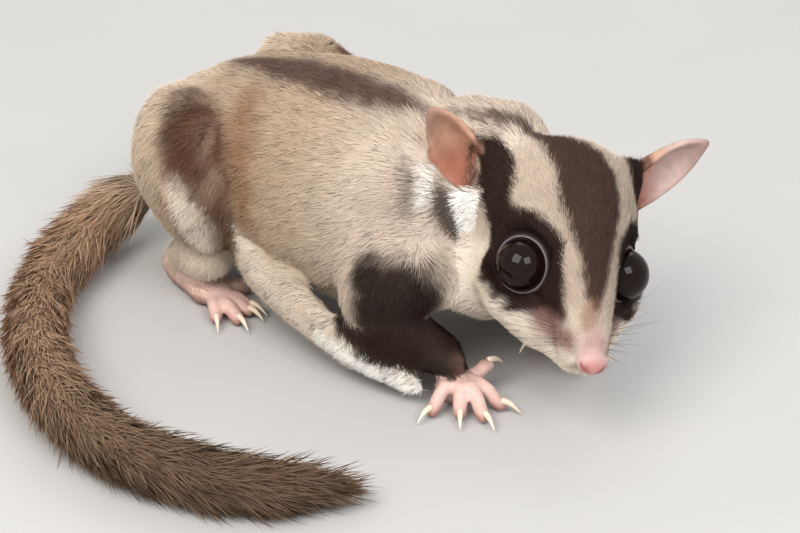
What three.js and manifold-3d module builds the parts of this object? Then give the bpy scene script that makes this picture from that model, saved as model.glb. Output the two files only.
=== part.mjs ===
// A sugar glider at life size, crouching on four feet with its head turned to its right.
// Millimetres, +Z up. The animal faces -Y, its left side is +X, and it stands on Z = 0.
// The group is moved at the end, so that its origin is the middle of the foot of its box.

import * as THREE from "three";
import { mergeVertices } from "three/addons/utils/BufferGeometryUtils.js";
import Module from "manifold-3d";

const wasm = await Module();
wasm.setup();

// Driving sizes
const GAP = 0.3; // between nodes that touch
const RIGHT = -1; // sign of X on each side of the body
const LEFT = 1;
const SIDES = { right: RIGHT, left: LEFT };
const TORSO_BACK = 82; // Y of the rump
const BACK_HEIGHT = 51; // top of the shoulders above the floor
const BELLY_HEIGHT = 6;
const HAUNCH_RISE = { right: -1, left: 0.6 }; // the left haunch is raised
const EYE_RADIUS = 4.8;
const EYE_SPREAD = 9.7; // each eye's centre from the middle of the head
const EAR_THICKNESS = 0.8;
const TAIL_RADIUS = 6.4; // out to the tips of the hair
const TAIL_CORE = 0.46; // the tail's flesh and underfur, as a share of that radius
const CLAW_LENGTH = 3.2;
const CLAW_RADIUS = 0.6;
const CLAW_HEIGHT = 2.0; // middle of its root above the floor
const CLAW_ROOT = 1.0; // how far it reaches back into the pad
const CLAW_TIP_HEIGHT = 0.6; // above the floor, as the root's
const CLAW_FLATNESS = 0.75; // width against height

// The head's own frame: -Y runs to the nose, +Z to the crown, and the origin lies midway between the eyes.
const HEAD_PLACE = [1.3, -26.2, 28];
const HEAD_TURN = { yaw: -35.5, pitch: 11.2, roll: 13.5 }; // degrees

const MATERIALS = {
  grey_fur: new THREE.MeshStandardMaterial({ color: 0xb7a28a, roughness: 0.95, metalness: 0 }),
  cream_fur: new THREE.MeshStandardMaterial({ color: 0xd8cbb2, roughness: 0.95, metalness: 0 }),
  dark_fur: new THREE.MeshStandardMaterial({ color: 0x3d2a22, roughness: 0.95, metalness: 0 }),
  tail_fur: new THREE.MeshStandardMaterial({ color: 0x8d6c54, roughness: 0.95, metalness: 0 }),
  bare_skin: new THREE.MeshStandardMaterial({ color: 0xe0b3a4, roughness: 0.6, metalness: 0 }),
  ear_skin: new THREE.MeshStandardMaterial({ color: 0xb98068, roughness: 0.65, metalness: 0 }),
  eye: new THREE.MeshStandardMaterial({ color: 0x0d0b0c, roughness: 0.05, metalness: 0 }),
  claw: new THREE.MeshStandardMaterial({ color: 0xe9ddc9, roughness: 0.4, metalness: 0 }),
};

// Sides round each form, rings along it, and the share of its length that each round end takes up
const FORMS = {
  skull: { around: 22, rings: 16, caps: [0.2, 0.09] },
  jaw: { around: 10, rings: 6, caps: [0.3, 0.12] },
  cheek: { around: 12, rings: 8, caps: [0.35, 0.2] },
  swelling: { around: 10, rings: 6 },
  nose: { around: 12, rings: 6 },
  nostril: { around: 6, rings: 4 },
  cleft: { around: 6, rings: 5, caps: [0.2, 0.2] },
  earRoom: { around: 10, rings: 6, caps: [0.2, 0.2] },
  torso: { around: 24, rings: 17, caps: [0.2, 0.2], square: 2.2 },
  neck: { around: 18, rings: 6, caps: [0.3, 0.3] },
  throat: { around: 12, rings: 6, caps: [0.3, 0.35] },
  thigh: { around: 16, rings: 10, caps: [0.3, 0.25] },
  shank: { around: 10, rings: 6, caps: [0.25, 0.2] },
  upperArm: { around: 12, rings: 8, caps: [0.3, 0.22] },
  forearm: { around: 10, rings: 7, caps: [0.22, 0.2] },
  sole: { around: 10, rings: 6, caps: [0.25, 0.25] },
  digit: { around: 7, rings: 7, caps: [0.12, 0.12] },
  claw: { around: 5, rings: 4, caps: [0.1, 0.35] },
  membrane: { around: 8, rings: 14, caps: [0.06, 0.06] },
  tailCore: { around: 9, rings: 22, caps: [0.05, 0.1] },
  lock: { around: 4, rings: 4, caps: [0.3, 0.5] },
  beyond: { around: 14, rings: 40, caps: [0.01, 0.01] },
};
const EYE_SIDES = 18; // round an eyeball and its lids
const EYE_RINGS = 10;

// Vectors and curves

const vec = (p) => new THREE.Vector3(...p);
const radians = THREE.MathUtils.degToRad;
const UP = new THREE.Vector3(0, 0, 1);

// A smooth function through rows of [position, value].
function smooth(rows) {
  const slope = (i) => {
    const [low, high] = [Math.max(i - 1, 0), Math.min(i + 1, rows.length - 1)];
    return (rows[high][1] - rows[low][1]) / (rows[high][0] - rows[low][0]);
  };
  return (x) => {
    let i = 0;
    while (i < rows.length - 2 && x > rows[i + 1][0]) i += 1;
    const span = rows[i + 1][0] - rows[i][0];
    const t = THREE.MathUtils.clamp((x - rows[i][0]) / span, 0, 1);
    const [a, b] = [rows[i][1], rows[i + 1][1]];
    const [ma, mb] = [slope(i) * span, slope(i + 1) * span];
    const [t2, t3] = [t * t, t * t * t];
    return (2 * t3 - 3 * t2 + 1) * a + (t3 - 2 * t2 + t) * ma + (3 * t2 - 2 * t3) * b + (t3 - t2) * mb;
  };
}

// The middle line and radii of a loft. Each station is [x, y, z, half width, height above, depth below].
function spineOf(stations) {
  const reach = [0];
  for (let i = 1; i < stations.length; i += 1) {
    reach.push(reach[i - 1] + vec(stations[i].slice(0, 3)).distanceTo(vec(stations[i - 1].slice(0, 3))));
  }
  const total = reach[reach.length - 1];
  const column = (k) => smooth(stations.map((row, i) => [reach[i] / total, row[k]]));
  const [x, y, z, side, above, below] = [0, 1, 2, 3, 4, 5].map(column);
  const at = (s) => new THREE.Vector3(x(s), y(s), z(s));
  const step = 0.01;
  const along = (s) => at(Math.min(s + step, 1)).sub(at(Math.max(s - step, 0))).normalize();
  return { at, along, side, above, below, total };
}

// Solids

function solidOf(geometry) {
  geometry.deleteAttribute("normal");
  geometry.deleteAttribute("uv");
  const merged = mergeVertices(geometry, 1e-4);
  const triVerts = new Uint32Array(merged.index.array);
  const vertProperties = new Float32Array(merged.attributes.position.array);
  const made = new wasm.Manifold(new wasm.Mesh({ numProp: 3, vertProperties, triVerts }));
  if (made.volume() > 0) return made;
  for (let i = 0; i < triVerts.length; i += 3) {
    [triVerts[i + 1], triVerts[i + 2]] = [triVerts[i + 2], triVerts[i + 1]];
  }
  return new wasm.Manifold(new wasm.Mesh({ numProp: 3, vertProperties, triVerts }));
}

// A round-ended body along a spine: a sphere whose rings are moved to the stations' sections. Its heights
// are measured along up, square above 2 fills the corners of its sections, and grow thickens it all over.
function loft(stations, { around, rings, caps, square = 2 }, { grow = 0, place, up = UP } = {}) {
  const spine = spineOf(stations);
  const power = (x) => Math.abs(x) ** square;
  const geometry = new THREE.SphereGeometry(1, around, rings);
  const position = geometry.getAttribute("position");
  const point = new THREE.Vector3();
  for (let i = 0; i < position.count; i += 1) {
    point.fromBufferAttribute(position, i);
    const s = THREE.MathUtils.clamp((1 - point.y) / 2, 0, 1);
    const round = Math.hypot(point.x, point.z);
    const corner = round < 1e-6 ? 1 : (power(point.x) + power(point.z)) ** (1 / square);
    const [dx, dz] = [point.x / corner, point.z / corner];
    const start = Math.min(s / caps[0], 1);
    const end = Math.min((1 - s) / caps[1], 1);
    const fullness = round < 1e-6 ? 0 : Math.sqrt((1 - (1 - start) ** 2) * (1 - (1 - end) ** 2));
    const along = spine.along(s);
    const rise = up.clone().addScaledVector(along, -up.dot(along)).normalize();
    const side = new THREE.Vector3().crossVectors(rise, along);
    const reach = dz > 0 ? spine.above(s) : spine.below(s);
    const middle = spine.at(s).addScaledVector(along, grow * (2 * s - 1));
    middle.addScaledVector(side, dx * (spine.side(s) + grow) * fullness);
    middle.addScaledVector(rise, dz * (reach + grow) * fullness);
    position.setXYZ(i, ...middle.toArray());
  }
  if (place) geometry.applyMatrix4(place);
  return solidOf(geometry);
}

// An egg-shaped body in the head's frame
function swelling(centre, radii, { around, rings }, grow = 0) {
  const geometry = new THREE.SphereGeometry(1, around, rings);
  geometry.scale(...radii.map((r) => r + grow));
  geometry.translate(...centre);
  return solidOf(geometry.applyMatrix4(headMatrix));
}

// A closed sheet with cells split alike on both faces. at(u, v, side) gives a point, u and v from 0 to 1.
function sheet(across, along, at) {
  const points = [];
  const faces = [];
  const id = (i, j, side) => (side * (along + 1) + j) * (across + 1) + i;
  for (const side of [0, 1]) {
    for (let j = 0; j <= along; j += 1) {
      for (let i = 0; i <= across; i += 1) points.push(...at(i / across, j / along, side).toArray());
    }
  }
  for (let j = 0; j < along; j += 1) {
    for (let i = 0; i < across; i += 1) {
      const [a, b, c, d] = [[i, j], [i + 1, j], [i + 1, j + 1], [i, j + 1]];
      faces.push(id(...a, 0), id(...b, 0), id(...c, 0), id(...a, 0), id(...c, 0), id(...d, 0));
      faces.push(id(...a, 1), id(...c, 1), id(...b, 1), id(...a, 1), id(...d, 1), id(...c, 1));
    }
  }
  const rim = [];
  for (let i = 0; i < across; i += 1) rim.push([i, 0, i + 1, 0], [across - i, along, across - i - 1, along]);
  for (let j = 0; j < along; j += 1) rim.push([across, j, across, j + 1], [0, along - j, 0, along - j - 1]);
  for (const [i, j, k, l] of rim) {
    faces.push(id(i, j, 0), id(i, j, 1), id(k, l, 1), id(i, j, 0), id(k, l, 1), id(k, l, 0));
  }
  const geometry = new THREE.BufferGeometry();
  geometry.setAttribute("position", new THREE.BufferAttribute(new Float32Array(points), 3));
  geometry.setIndex(faces);
  return solidOf(geometry);
}

const join = (pieces) => pieces.reduce((whole, piece) => whole.add(piece));
const cut = (whole, cutters) => cutters.reduce((left, cutter) => left.subtract(cutter), whole);

// The largest closed body, which drops loose scraps of a cut.
function largest(solid) {
  return solid.decompose().reduce((best, body) => (body.volume() > best.volume() ? body : best));
}

const FLOOR_SIZE = 400;
const floor = solidOf(new THREE.BoxGeometry(FLOOR_SIZE, FLOOR_SIZE, 100).translate(0, 0, -50));
const mirrored = (point, side) => [point[0] * side, point[1], point[2]];
const mirroredStations = (rows, side) => rows.map((row) => [row[0] * side, ...row.slice(1)]);

// Head

const headTurn = new THREE.Euler(...[HEAD_TURN.pitch, HEAD_TURN.roll, HEAD_TURN.yaw].map(radians), "ZXY");
const headMatrix = new THREE.Matrix4().makeRotationFromEuler(headTurn).setPosition(...HEAD_PLACE);

// Crown, brow and snout, from the back of the skull to the nose
const SKULL = [
  [0, 25, 3.0, 13.5, 13.2, 10.0],
  [0, 17, 2.4, 15.0, 13.9, 12.6],
  [0, 8, 1.0, 14.2, 13.3, 12.6],
  [0, 2, 0.0, 11.2, 12.5, 12.2],
  [0, -3, -1.0, 7.9, 10.5, 10.4],
  [0, -8, -2.8, 6.1, 8.2, 8.0],
  [0, -13, -4.6, 4.8, 5.7, 4.8],
  [0, -19.5, -6.0, 3.2, 3.2, 2.8],
];
// Rows for the left side, from below the ear forward to the lip
const CHEEK = [
  [10.2, 10, -5.0, 5.6, 6.0, 7.0],
  [9.2, 1, -6.6, 6.2, 6.0, 6.4],
  [6.2, -6, -8.6, 4.2, 4.0, 4.7],
  [3.6, -12.5, -8.9, 2.5, 2.4, 2.8],
];
const WHISKER_PAD = { centre: [2.4, -14.4, -7.0], radii: [2.4, 4.4, 2.4] };
const EAR_MOUND = { centre: [12.6, 17.6, 7.6], radii: [3.8, 5.4, 4.6] }; // furry, in front of each ear
const NOSE = { centre: [0, -20.0, -5.7], radii: [2.8, 1.9, 2.2] };
const NOSTRIL = { centre: [1.7, -21.3, -5.8], radii: [0.6, 1.0, 0.5] };
const JAW = [
  [0, 8, -9.0, 9.0, 3.0, 4.5],
  [0, -4, -10.5, 8.4, 2.6, 3.4],
  [0, -11, -10.6, 5.2, 2.2, 2.4],
  [0, -17.6, -9.9, 2.6, 1.4, 1.5],
];
// The line of the mouth runs between the corners, round the front of the lips.
const MOUTH_CORNER_Y = -7.5;
const MOUTH_FRONT_Y = -26; // past the lips
const MOUTH_WIDTH = 24; // past the cheeks
const MOUTH_HEIGHT = { corner: -9.6, front: -8.7 };
const MOUTH_GAP = 0.7;
const MOUTH_DEPTH = 0.9;
const EYE_AXIS = new THREE.Vector3(0.76, -0.58, 0.29).normalize();
// The lids as a ring round the eye's axis: rows of [radius, height above the eye's middle]
const LID_PROFILE = [[0, -4.2], [7.2, -3.2], [6.9, -1.4], [6.2, 0.0], [5.6, 0.8], [5.1, 1.0], [0, 1.0]];

const CLEFT = [[0, -22.0, -6.8, 0.3, 0.3, 0.3], [0, -20.4, -8.6, 0.3, 0.3, 0.3]]; // under the nose

const eyeCentre = (side) => [EYE_SPREAD * side, 0, 0];

// Moves a shape made on +Z at the origin to an eye, with its axis out through the pupil.
function eyeFrame(side) {
  const axis = vec(mirrored(EYE_AXIS.toArray(), side));
  const turn = new THREE.Quaternion().setFromUnitVectors(new THREE.Vector3(0, 0, 1), axis);
  const frame = new THREE.Matrix4().makeRotationFromQuaternion(turn).setPosition(...eyeCentre(side));
  return headMatrix.clone().multiply(frame);
}

// The ring of skin round an eye: it rises from the face to a thin edge that holds the eyeball.
function lids(side) {
  const profile = LID_PROFILE.map(([r, h]) => new THREE.Vector2(r, h));
  const geometry = new THREE.LatheGeometry(profile, EYE_SIDES);
  geometry.applyMatrix4(new THREE.Matrix4().makeRotationX(Math.PI / 2));
  geometry.applyMatrix4(eyeFrame(side));
  return solidOf(geometry);
}

function eyeball(side, grow = 0) {
  const geometry = new THREE.SphereGeometry(EYE_RADIUS + grow, EYE_SIDES, EYE_RINGS);
  return solidOf(geometry.applyMatrix4(eyeFrame(side)));
}

// The head's masses, without the lids, the whisker pads and the nose pad
function headMasses(grow = 0) {
  const options = { grow, place: headMatrix };
  const pieces = [loft(SKULL, FORMS.skull, options), loft(JAW, FORMS.jaw, options)];
  for (const side of [RIGHT, LEFT]) {
    pieces.push(loft(mirroredStations(CHEEK, side), FORMS.cheek, options));
    pieces.push(swelling(mirrored(EAR_MOUND.centre, side), EAR_MOUND.radii, FORMS.swelling, grow));
  }
  return join(pieces);
}

// A thin plate at the height of the mouth that reaches from the skin in to the depth of its line.
function mouthLine() {
  const at = (u, v, face) => {
    const y = THREE.MathUtils.lerp(MOUTH_CORNER_Y, MOUTH_FRONT_Y, v);
    const z = THREE.MathUtils.lerp(MOUTH_HEIGHT.corner, MOUTH_HEIGHT.front, Math.min(2 * v, 1));
    const half = (face ? 0.5 : -0.5) * MOUTH_GAP;
    return new THREE.Vector3((0.5 - u) * MOUTH_WIDTH, y, z + half).applyMatrix4(headMatrix);
  };
  return sheet(1, 2, at).subtract(headMasses(-MOUTH_DEPTH));
}

function headSolid() {
  const pieces = [headMasses(), swelling(NOSE.centre, NOSE.radii, FORMS.nose)];
  const cutters = [mouthLine(), loft(CLEFT, FORMS.cleft, { place: headMatrix })];
  for (const side of [RIGHT, LEFT]) {
    pieces.push(swelling(mirrored(WHISKER_PAD.centre, side), WHISKER_PAD.radii, FORMS.swelling));
    pieces.push(lids(side));
    cutters.push(eyeball(side, GAP));
    cutters.push(swelling(mirrored(NOSTRIL.centre, side), NOSTRIL.radii, FORMS.nostril));
  }
  return largest(cut(join(pieces), cutters));
}

// Ears: leaf-shaped cups that stand out to the side of the skull and open forward. The two edges run from
// the root to the tip, in the head's frame on the left, and the cup bulges back between them.

const EAR_OUTER_EDGE = [[15.0, 16.0, 0.5], [21.8, 18.6, 4.4], [25.8, 19.8, 9.2], [27.8, 20.3, 16.2]];
const EAR_INNER_EDGE = [[12.8, 16.0, 6.5], [17.6, 19.0, 11.4], [22.4, 20.4, 15.0], [27.4, 20.3, 16.6]];
const EAR_BACK = new THREE.Vector3(-0.2, 0.97, 0.1).normalize();
const earDepth = smooth([[0, 4.6], [0.3, 4.2], [0.7, 2.4], [1, 0.3]]);
const EAR_ROUNDNESS = 2.4; // 2 bends the cup as a parabola, and more gives it a flatter back
const EAR_CELLS = { across: 8, along: 7 };
// The room that the cup and its opening take up, which the neck stays clear of
const EAR_ROOM = [
  [13.5, 17.5, 3.0, 4.6, 5.0, 4.8],
  [19.5, 19.2, 8.6, 5.0, 5.2, 5.0],
  [28.4, 20.6, 17.4, 2.0, 2.0, 2.0],
];
function earRoom(side, grow = 0) {
  return loft(mirroredStations(EAR_ROOM, side), FORMS.earRoom, { grow, place: headMatrix });
}

function earSolid(side) {
  const outer = new THREE.CatmullRomCurve3(EAR_OUTER_EDGE.map(vec));
  const inner = new THREE.CatmullRomCurve3(EAR_INNER_EDGE.map(vec));
  const middle = (u, v) => {
    const point = outer.getPoint(v).lerp(inner.getPoint(v), u);
    return point.addScaledVector(EAR_BACK, earDepth(v) * (1 - Math.abs(2 * u - 1) ** EAR_ROUNDNESS));
  };
  const step = 0.02;
  const at = (u, v, face) => {
    const [u0, u1] = [Math.max(u - step, 0), Math.min(u + step, 1)];
    const [v0, v1] = [Math.max(v - step, 0), Math.min(v + step, 1)];
    const across = middle(u1, v).sub(middle(u0, v));
    const normal = across.cross(middle(u, v1).sub(middle(u, v0))).normalize();
    const point = middle(u, v).addScaledVector(normal, (face ? 0.5 : -0.5) * EAR_THICKNESS);
    point.x *= side;
    return point.applyMatrix4(headMatrix);
  };
  return sheet(EAR_CELLS.across, EAR_CELLS.along, at);
}

// Torso, neck

const TORSO = [
  [0, TORSO_BACK, 18.5, 15, 9, 13],
  [0, 72, 22, 19, 12.5, 17],
  [0, 60, 25.5, 20.5, 17, 19],
  [0, 48, 27, 21.5, 20.2, 20],
  [0, 34, 27.5, 22.5, BACK_HEIGHT - 28.2, 21],
  [0, 18, 28.5, 22, BACK_HEIGHT - 28.5, 28.5 - BELLY_HEIGHT],
  [0, 6, 29.5, 18.5, BACK_HEIGHT - 30.5, 22],
  [4, -6, 30, 13, 13.5, 16],
];
const NECK = [
  [3, 10, 33, 16, 18.5, 15],
  [8.5, -3, 34, 15, 16, 15],
  [14.5, -13, 35, 13.5, 14.6, 14],
];
// From the chest forward to under the chin
const THROAT = [
  [-1, -1, 23, 11, 8, 10],
  [-1.5, -9, 20.5, 10, 8, 8],
  [-1.5, -18, 18.5, 7, 6, 5.5],
];

const torsoSolid = (grow = 0) => loft(TORSO, FORMS.torso, { grow });
const neckSolid = (grow = 0) => loft(NECK, FORMS.neck, { grow }).add(loft(THROAT, FORMS.throat, { grow }));

// Legs. Rows are for the left side, and the right side mirrors them.

const thigh = (rise) => [
  [9, 68, 31 + rise, 9, 11, 10],
  [15.5, 57, 30 + rise, 11.5, 15, 14],
  [19.5, 47, 21, 9, 11, 11],
  [20.5, 43, 14, 6.5, 7, 7],
];
const SHANK = [
  [20, 44, 14, 6.0, 6.0, 6.0],
  [18, 53, 9.5, 5.0, 5.0, 5.0],
  [16, 62, 6, 3.4, 3.4, 3.4],
];
const HIND_SOLE = [
  [15.5, 65, 3.6, 3.0, 2.6, 3.8],
  [16.5, 57, 3.3, 3.4, 2.4, 3.7],
  [18.0, 49, 3.0, 4.2, 2.2, 3.4],
  [18.5, 44.5, 2.7, 3.6, 1.8, 3.0],
];
const UPPER_ARM = [
  [12, -7, 28, 8, 9, 9],
  [16, 2, 21, 7.5, 8.5, 8.5],
  [18.5, 11, 13.5, 5.8, 5.8, 5.8],
];
const FOREARM = [
  [18.8, 12.5, 11.5, 5.6, 5.6, 5.6],
  [16.8, 3, 10.8, 5.8, 6.8, 5.6],
  [14.2, -6.0, 9.4, 4.8, 5.2, 4.6],
  [13.0, -13.6, 7.2, 3.5, 3.2, 3.0],
];
const PALM = [
  [13.6, -8.0, 5.0, 2.6, 2.2, 5.2],
  [13.4, -11.6, 4.4, 3.2, 2.0, 4.8],
  [13.2, -14.8, 3.6, 2.8, 1.6, 3.8],
];

// Each digit is [knuckle's x, its y, degrees out from straight ahead, reach past the knuckle, thickness,
// height of its tip over the floor].
const FINGERS = {
  1: [11.2, -12.6, -84, 5.8, 1.2, 3.8],
  2: [12.2, -14.6, -18, 6.6, 1.15, 0],
  3: [13.5, -14.6, 20, 7.2, 1.2, 0],
  4: [14.7, -13.8, 48, 5.2, 1.2, 0],
  5: [15.3, -12.0, 88, 6.2, 1.15, 0],
};
const TOES = {
  1: [15.6, 47.5, -80, 4.8, 1.7, 0],
  2: [17.0, 44.4, -12, 5.2, 1.05, 0],
  3: [18.2, 43.8, -6, 5.6, 1.05, 0],
  4: [19.8, 44.0, 14, 6.8, 1.3, 0],
  5: [21.0, 45.4, 38, 5.6, 1.2, 0],
};
const HAND = { middle: [13.4, -11.2, 4.4], knuckle: 6.2 };
const FOOT = { middle: [18.0, 49.0, 3.2], knuckle: 3.6 };
const PAD_HEIGHT = 1.1; // middle of a finger's pad
const PAD_BEND = 0.6; // how much higher the joint before it is

// The way a digit points, seen from above, on the left side
const heading = (degrees) => new THREE.Vector3(Math.sin(radians(degrees)), -Math.cos(radians(degrees)), 0);

function digitSolid(paw, [x, y, angle, reach, thick, lift], side, grow) {
  const way = heading(angle);
  const at = (out, z, r) => {
    const p = new THREE.Vector3(x, y, 0).addScaledVector(way, out * reach);
    return [p.x * side, p.y, z, r, r, r];
  };
  const root = [paw.middle[0] * side, paw.middle[1], paw.middle[2] - 0.4, thick, thick, thick];
  const stations = [
    root,
    at(0, paw.knuckle - thick, thick * 1.05),
    at(0.4, paw.knuckle * 0.72, thick),
    at(0.74, PAD_HEIGHT + PAD_BEND + lift, thick * 0.95),
    at(1.0, PAD_HEIGHT + lift, thick * 1.1),
  ];
  return loft(stations, FORMS.digit, { grow });
}

function pawSolid(sole, paw, digits, side, grow = 0) {
  const pieces = [loft(mirroredStations(sole, side), FORMS.sole, { grow })];
  for (const row of Object.values(digits)) pieces.push(digitSolid(paw, row, side, grow));
  return join(pieces);
}

// A claw hooks down from the end of a digit. Its root lies in the pad, and is cut clear of it later.
function clawSolid([x, y, angle, reach, , lift], side) {
  const way = heading(angle);
  const at = (out, z, r) => {
    const p = new THREE.Vector3(x, y, 0).addScaledVector(way, reach + out);
    return [p.x * side, p.y, z + lift, r * CLAW_FLATNESS, r, r];
  };
  const stations = [
    at(-CLAW_ROOT, CLAW_HEIGHT, CLAW_RADIUS * 1.1),
    at(CLAW_LENGTH * 0.5, CLAW_HEIGHT * 0.95, CLAW_RADIUS),
    at(CLAW_LENGTH, CLAW_TIP_HEIGHT, CLAW_RADIUS * 0.4),
  ];
  return loft(stations, FORMS.claw);
}

// Gliding membrane, gathered in a soft fold from the knee along the flank to the wrist
const MEMBRANE = [
  [18.5, 40, 20, 2.4, 4.0, 4.0],
  [20.0, 34, 15, 2.8, 5.0, 5.0],
  [20.7, 25, 11.4, 2.8, 6.0, 4.6],
  [21.8, 14, 8.9, 2.3, 4.8, 4.0],
  [21.6, 4, 6.4, 1.9, 3.2, 2.8],
  [18.6, -9, 3.4, 1.4, 1.7, 1.7],
];

// Tail: it leaves the rump, comes down to the floor behind and curls forward on the right
const TAIL = [
  [-1, 66, 19, 6.0, 6.0, 6.0],
  [-7, 77, 13.5, 6.2, 6.2, 6.2],
  [-19, 80, 8.4, TAIL_RADIUS, TAIL_RADIUS, TAIL_RADIUS],
  [-36, 74, 6.3, TAIL_RADIUS, TAIL_RADIUS, TAIL_RADIUS],
  [-51, 62, 6.2, TAIL_RADIUS, TAIL_RADIUS, TAIL_RADIUS],
  [-63, 46, 6.2, TAIL_RADIUS, TAIL_RADIUS, TAIL_RADIUS],
  [-70, 28, 6.0, 6.3, 6.3, 6.3],
  [-71, 10, 5.8, 6.0, 6.0, 6.0],
  [-65, -7, 5.2, 5.4, 5.4, 5.4],
  [-54, -19, 4.0, 3.2, 3.2, 3.2],
];
const TAIL_PIECES = ["tail_base", "tail_middle", "tail_tip"];
const tailSpine = spineOf(TAIL);

// The coat is flat locks in rows round the tail, each row turned half a lock from the last. The tail is
// parted between two rows, along the underside of the locks, so that they reach over the next length.
const LOCKS = { rows: 11, inRow: 5, first: 0.05, last: 0.9, partAfter: [3, 7] };
const LOCK = { length: 24, halfWidth: 2.5, halfThickness: 0.6, unevenness: 0.08 };
const LOCK_SWAY = 0.12; // radians that a tip leans to one side at most
// Along a lock: share of its length, distance out as a share of the tail's radius, share of its width
const LOCK_PROFILE = [[0, 0.26, 0.6], [0.3, 0.66, 1], [0.65, 0.87, 0.9], [1, 0.96, 0.35]];
const lockRise = smooth(LOCK_PROFILE.map(([t, out]) => [t, out]));
const PAST_HAIR = 1.6; // radius that clears the hair, as a share of the tail's radius
const rowShare = (row) => THREE.MathUtils.lerp(LOCKS.first, LOCKS.last, row / (LOCKS.rows - 1));

// Random numbers from 0 to 1, the same in every build
function seeded(seed) {
  let state = seed;
  return () => {
    state = (state * 16807) % 2147483647;
    return state / 2147483647;
  };
}

// The direction out of the tail at a share of its length, turned from the top towards its side
function outOfTail(share, angle) {
  const along = tailSpine.along(share);
  const rise = UP.clone().addScaledVector(along, -UP.dot(along)).normalize();
  return rise.applyAxisAngle(along, angle);
}

function lockSolid(share, angle, sway, fullness) {
  const stations = LOCK_PROFILE.map(([t, out, width]) => {
    const place = Math.min(share + (t * LOCK.length * fullness) / tailSpine.total, 1);
    const way = outOfTail(place, angle + sway * t * t);
    const point = tailSpine.at(place).addScaledVector(way, out * tailSpine.side(place));
    const broad = (LOCK.halfWidth * width * tailSpine.side(place)) / TAIL_RADIUS;
    const thick = LOCK.halfThickness * Math.sqrt(width);
    return [...point.toArray(), broad, thick, thick];
  });
  return loft(stations, FORMS.lock, { up: outOfTail(share, angle) });
}

function tailSolid() {
  const core = TAIL.map((row) => [...row.slice(0, 3), ...row.slice(3).map((r) => r * TAIL_CORE)]);
  const pieces = [loft(core, FORMS.tailCore)];
  const random = seeded(7);
  for (let row = 0; row < LOCKS.rows; row += 1) {
    for (let i = 0; i < LOCKS.inRow; i += 1) {
      const angle = ((i + (row % 2) / 2) / LOCKS.inRow) * 2 * Math.PI;
      const sway = (2 * random() - 1) * LOCK_SWAY;
      const stretch = 1 + (2 * random() - 1) * LOCK.unevenness;
      pieces.push(lockSolid(rowShare(row), angle, sway, stretch));
    }
  }
  return join(pieces);
}

// All of the tail behind a row of locks: it widens from the flesh outwards as the locks rise, and then
// reaches past the tip and past the hair.
function beyondRow(row, grow = 0) {
  const start = rowShare(row + 0.5);
  const span = LOCK.length / tailSpine.total;
  const stations = [];
  for (let share = start; share < 1; share += 0.2 * span) {
    const t = (share - start) / span;
    const radius = tailSpine.side(share) * (t > 1 ? PAST_HAIR : lockRise(t));
    stations.push([...tailSpine.at(share).toArray(), radius, radius, radius]);
  }
  const past = tailSpine.at(1).addScaledVector(tailSpine.along(1), 2 * TAIL_RADIUS);
  stations.push([...past.toArray(), TAIL_RADIUS, TAIL_RADIUS, TAIL_RADIUS]);
  return loft(stations, FORMS.beyond, { grow });
}

// The nodes

const nodes = [];
const addNode = (name, solid, material) => nodes.push([name, largest(solid.subtract(floor)), material]);

const headGrown = headMasses(GAP);
const torsoGrown = torsoSolid(GAP);
const neckGrown = neckSolid(GAP);
const earRooms = [RIGHT, LEFT].map((side) => earRoom(side, GAP));
addNode("head", headSolid(), "cream_fur");
addNode("torso", cut(torsoSolid(), [headGrown, ...earRooms]), "grey_fur");
addNode("neck", cut(neckSolid(), [torsoGrown, headGrown, ...earRooms]), "grey_fur");

for (const [name, side] of Object.entries(SIDES)) {
  const shoulders = neckGrown.add(torsoGrown).subtract(earRoom(side));
  addNode(`eye_${name}`, eyeball(side), "eye");
  addNode(`ear_${name}`, cut(earSolid(side), [headGrown, shoulders]), "ear_skin");

  // Each limb as it is, and grown by the gap to cut its neighbours clear
  const limb = (rows, form) => {
    const stations = mirroredStations(rows, side);
    return { solid: loft(stations, form), grown: loft(stations, form, { grow: GAP }) };
  };
  const haunch = limb(thigh(HAUNCH_RISE[name]), FORMS.thigh);
  const shank = limb(SHANK, FORMS.shank);
  const upperArm = limb(UPPER_ARM, FORMS.upperArm);
  const forearm = limb(FOREARM, FORMS.forearm);
  const membrane = limb(MEMBRANE, FORMS.membrane);
  const handGrown = pawSolid(PALM, HAND, FINGERS, side, GAP);
  const footGrown = pawSolid(HIND_SOLE, FOOT, TOES, side, GAP);
  const body = [torsoGrown, neckGrown, headGrown];
  const limbs = [haunch, shank, upperArm, forearm].map((piece) => piece.grown);

  addNode(`forefoot_${name}`, pawSolid(PALM, HAND, FINGERS, side), "bare_skin");
  addNode(`hind_foot_${name}`, pawSolid(HIND_SOLE, FOOT, TOES, side), "bare_skin");
  addNode(`thigh_${name}`, cut(haunch.solid, [torsoGrown, footGrown]), "grey_fur");
  addNode(`shank_${name}`, cut(shank.solid, [torsoGrown, footGrown, haunch.grown]), "grey_fur");
  addNode(`upper_arm_${name}`, cut(upperArm.solid, [...body, handGrown]), "dark_fur");
  addNode(`forearm_${name}`, cut(forearm.solid, [...body, handGrown, upperArm.grown]), "dark_fur");
  const edge = cut(membrane.solid, [torsoGrown, ...limbs, handGrown, footGrown]);
  addNode(`gliding_membrane_${name}`, edge, "cream_fur");

  for (const [digit, row] of Object.entries(FINGERS)) {
    addNode(`claw_fore_${name}_${digit}`, clawSolid(row, side).subtract(handGrown), "claw");
  }
  for (const [digit, row] of Object.entries(TOES)) {
    if (digit === "1") continue; // the inner toe has no claw
    addNode(`claw_hind_${name}_${digit}`, clawSolid(row, side).subtract(footGrown), "claw");
  }
}

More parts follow.
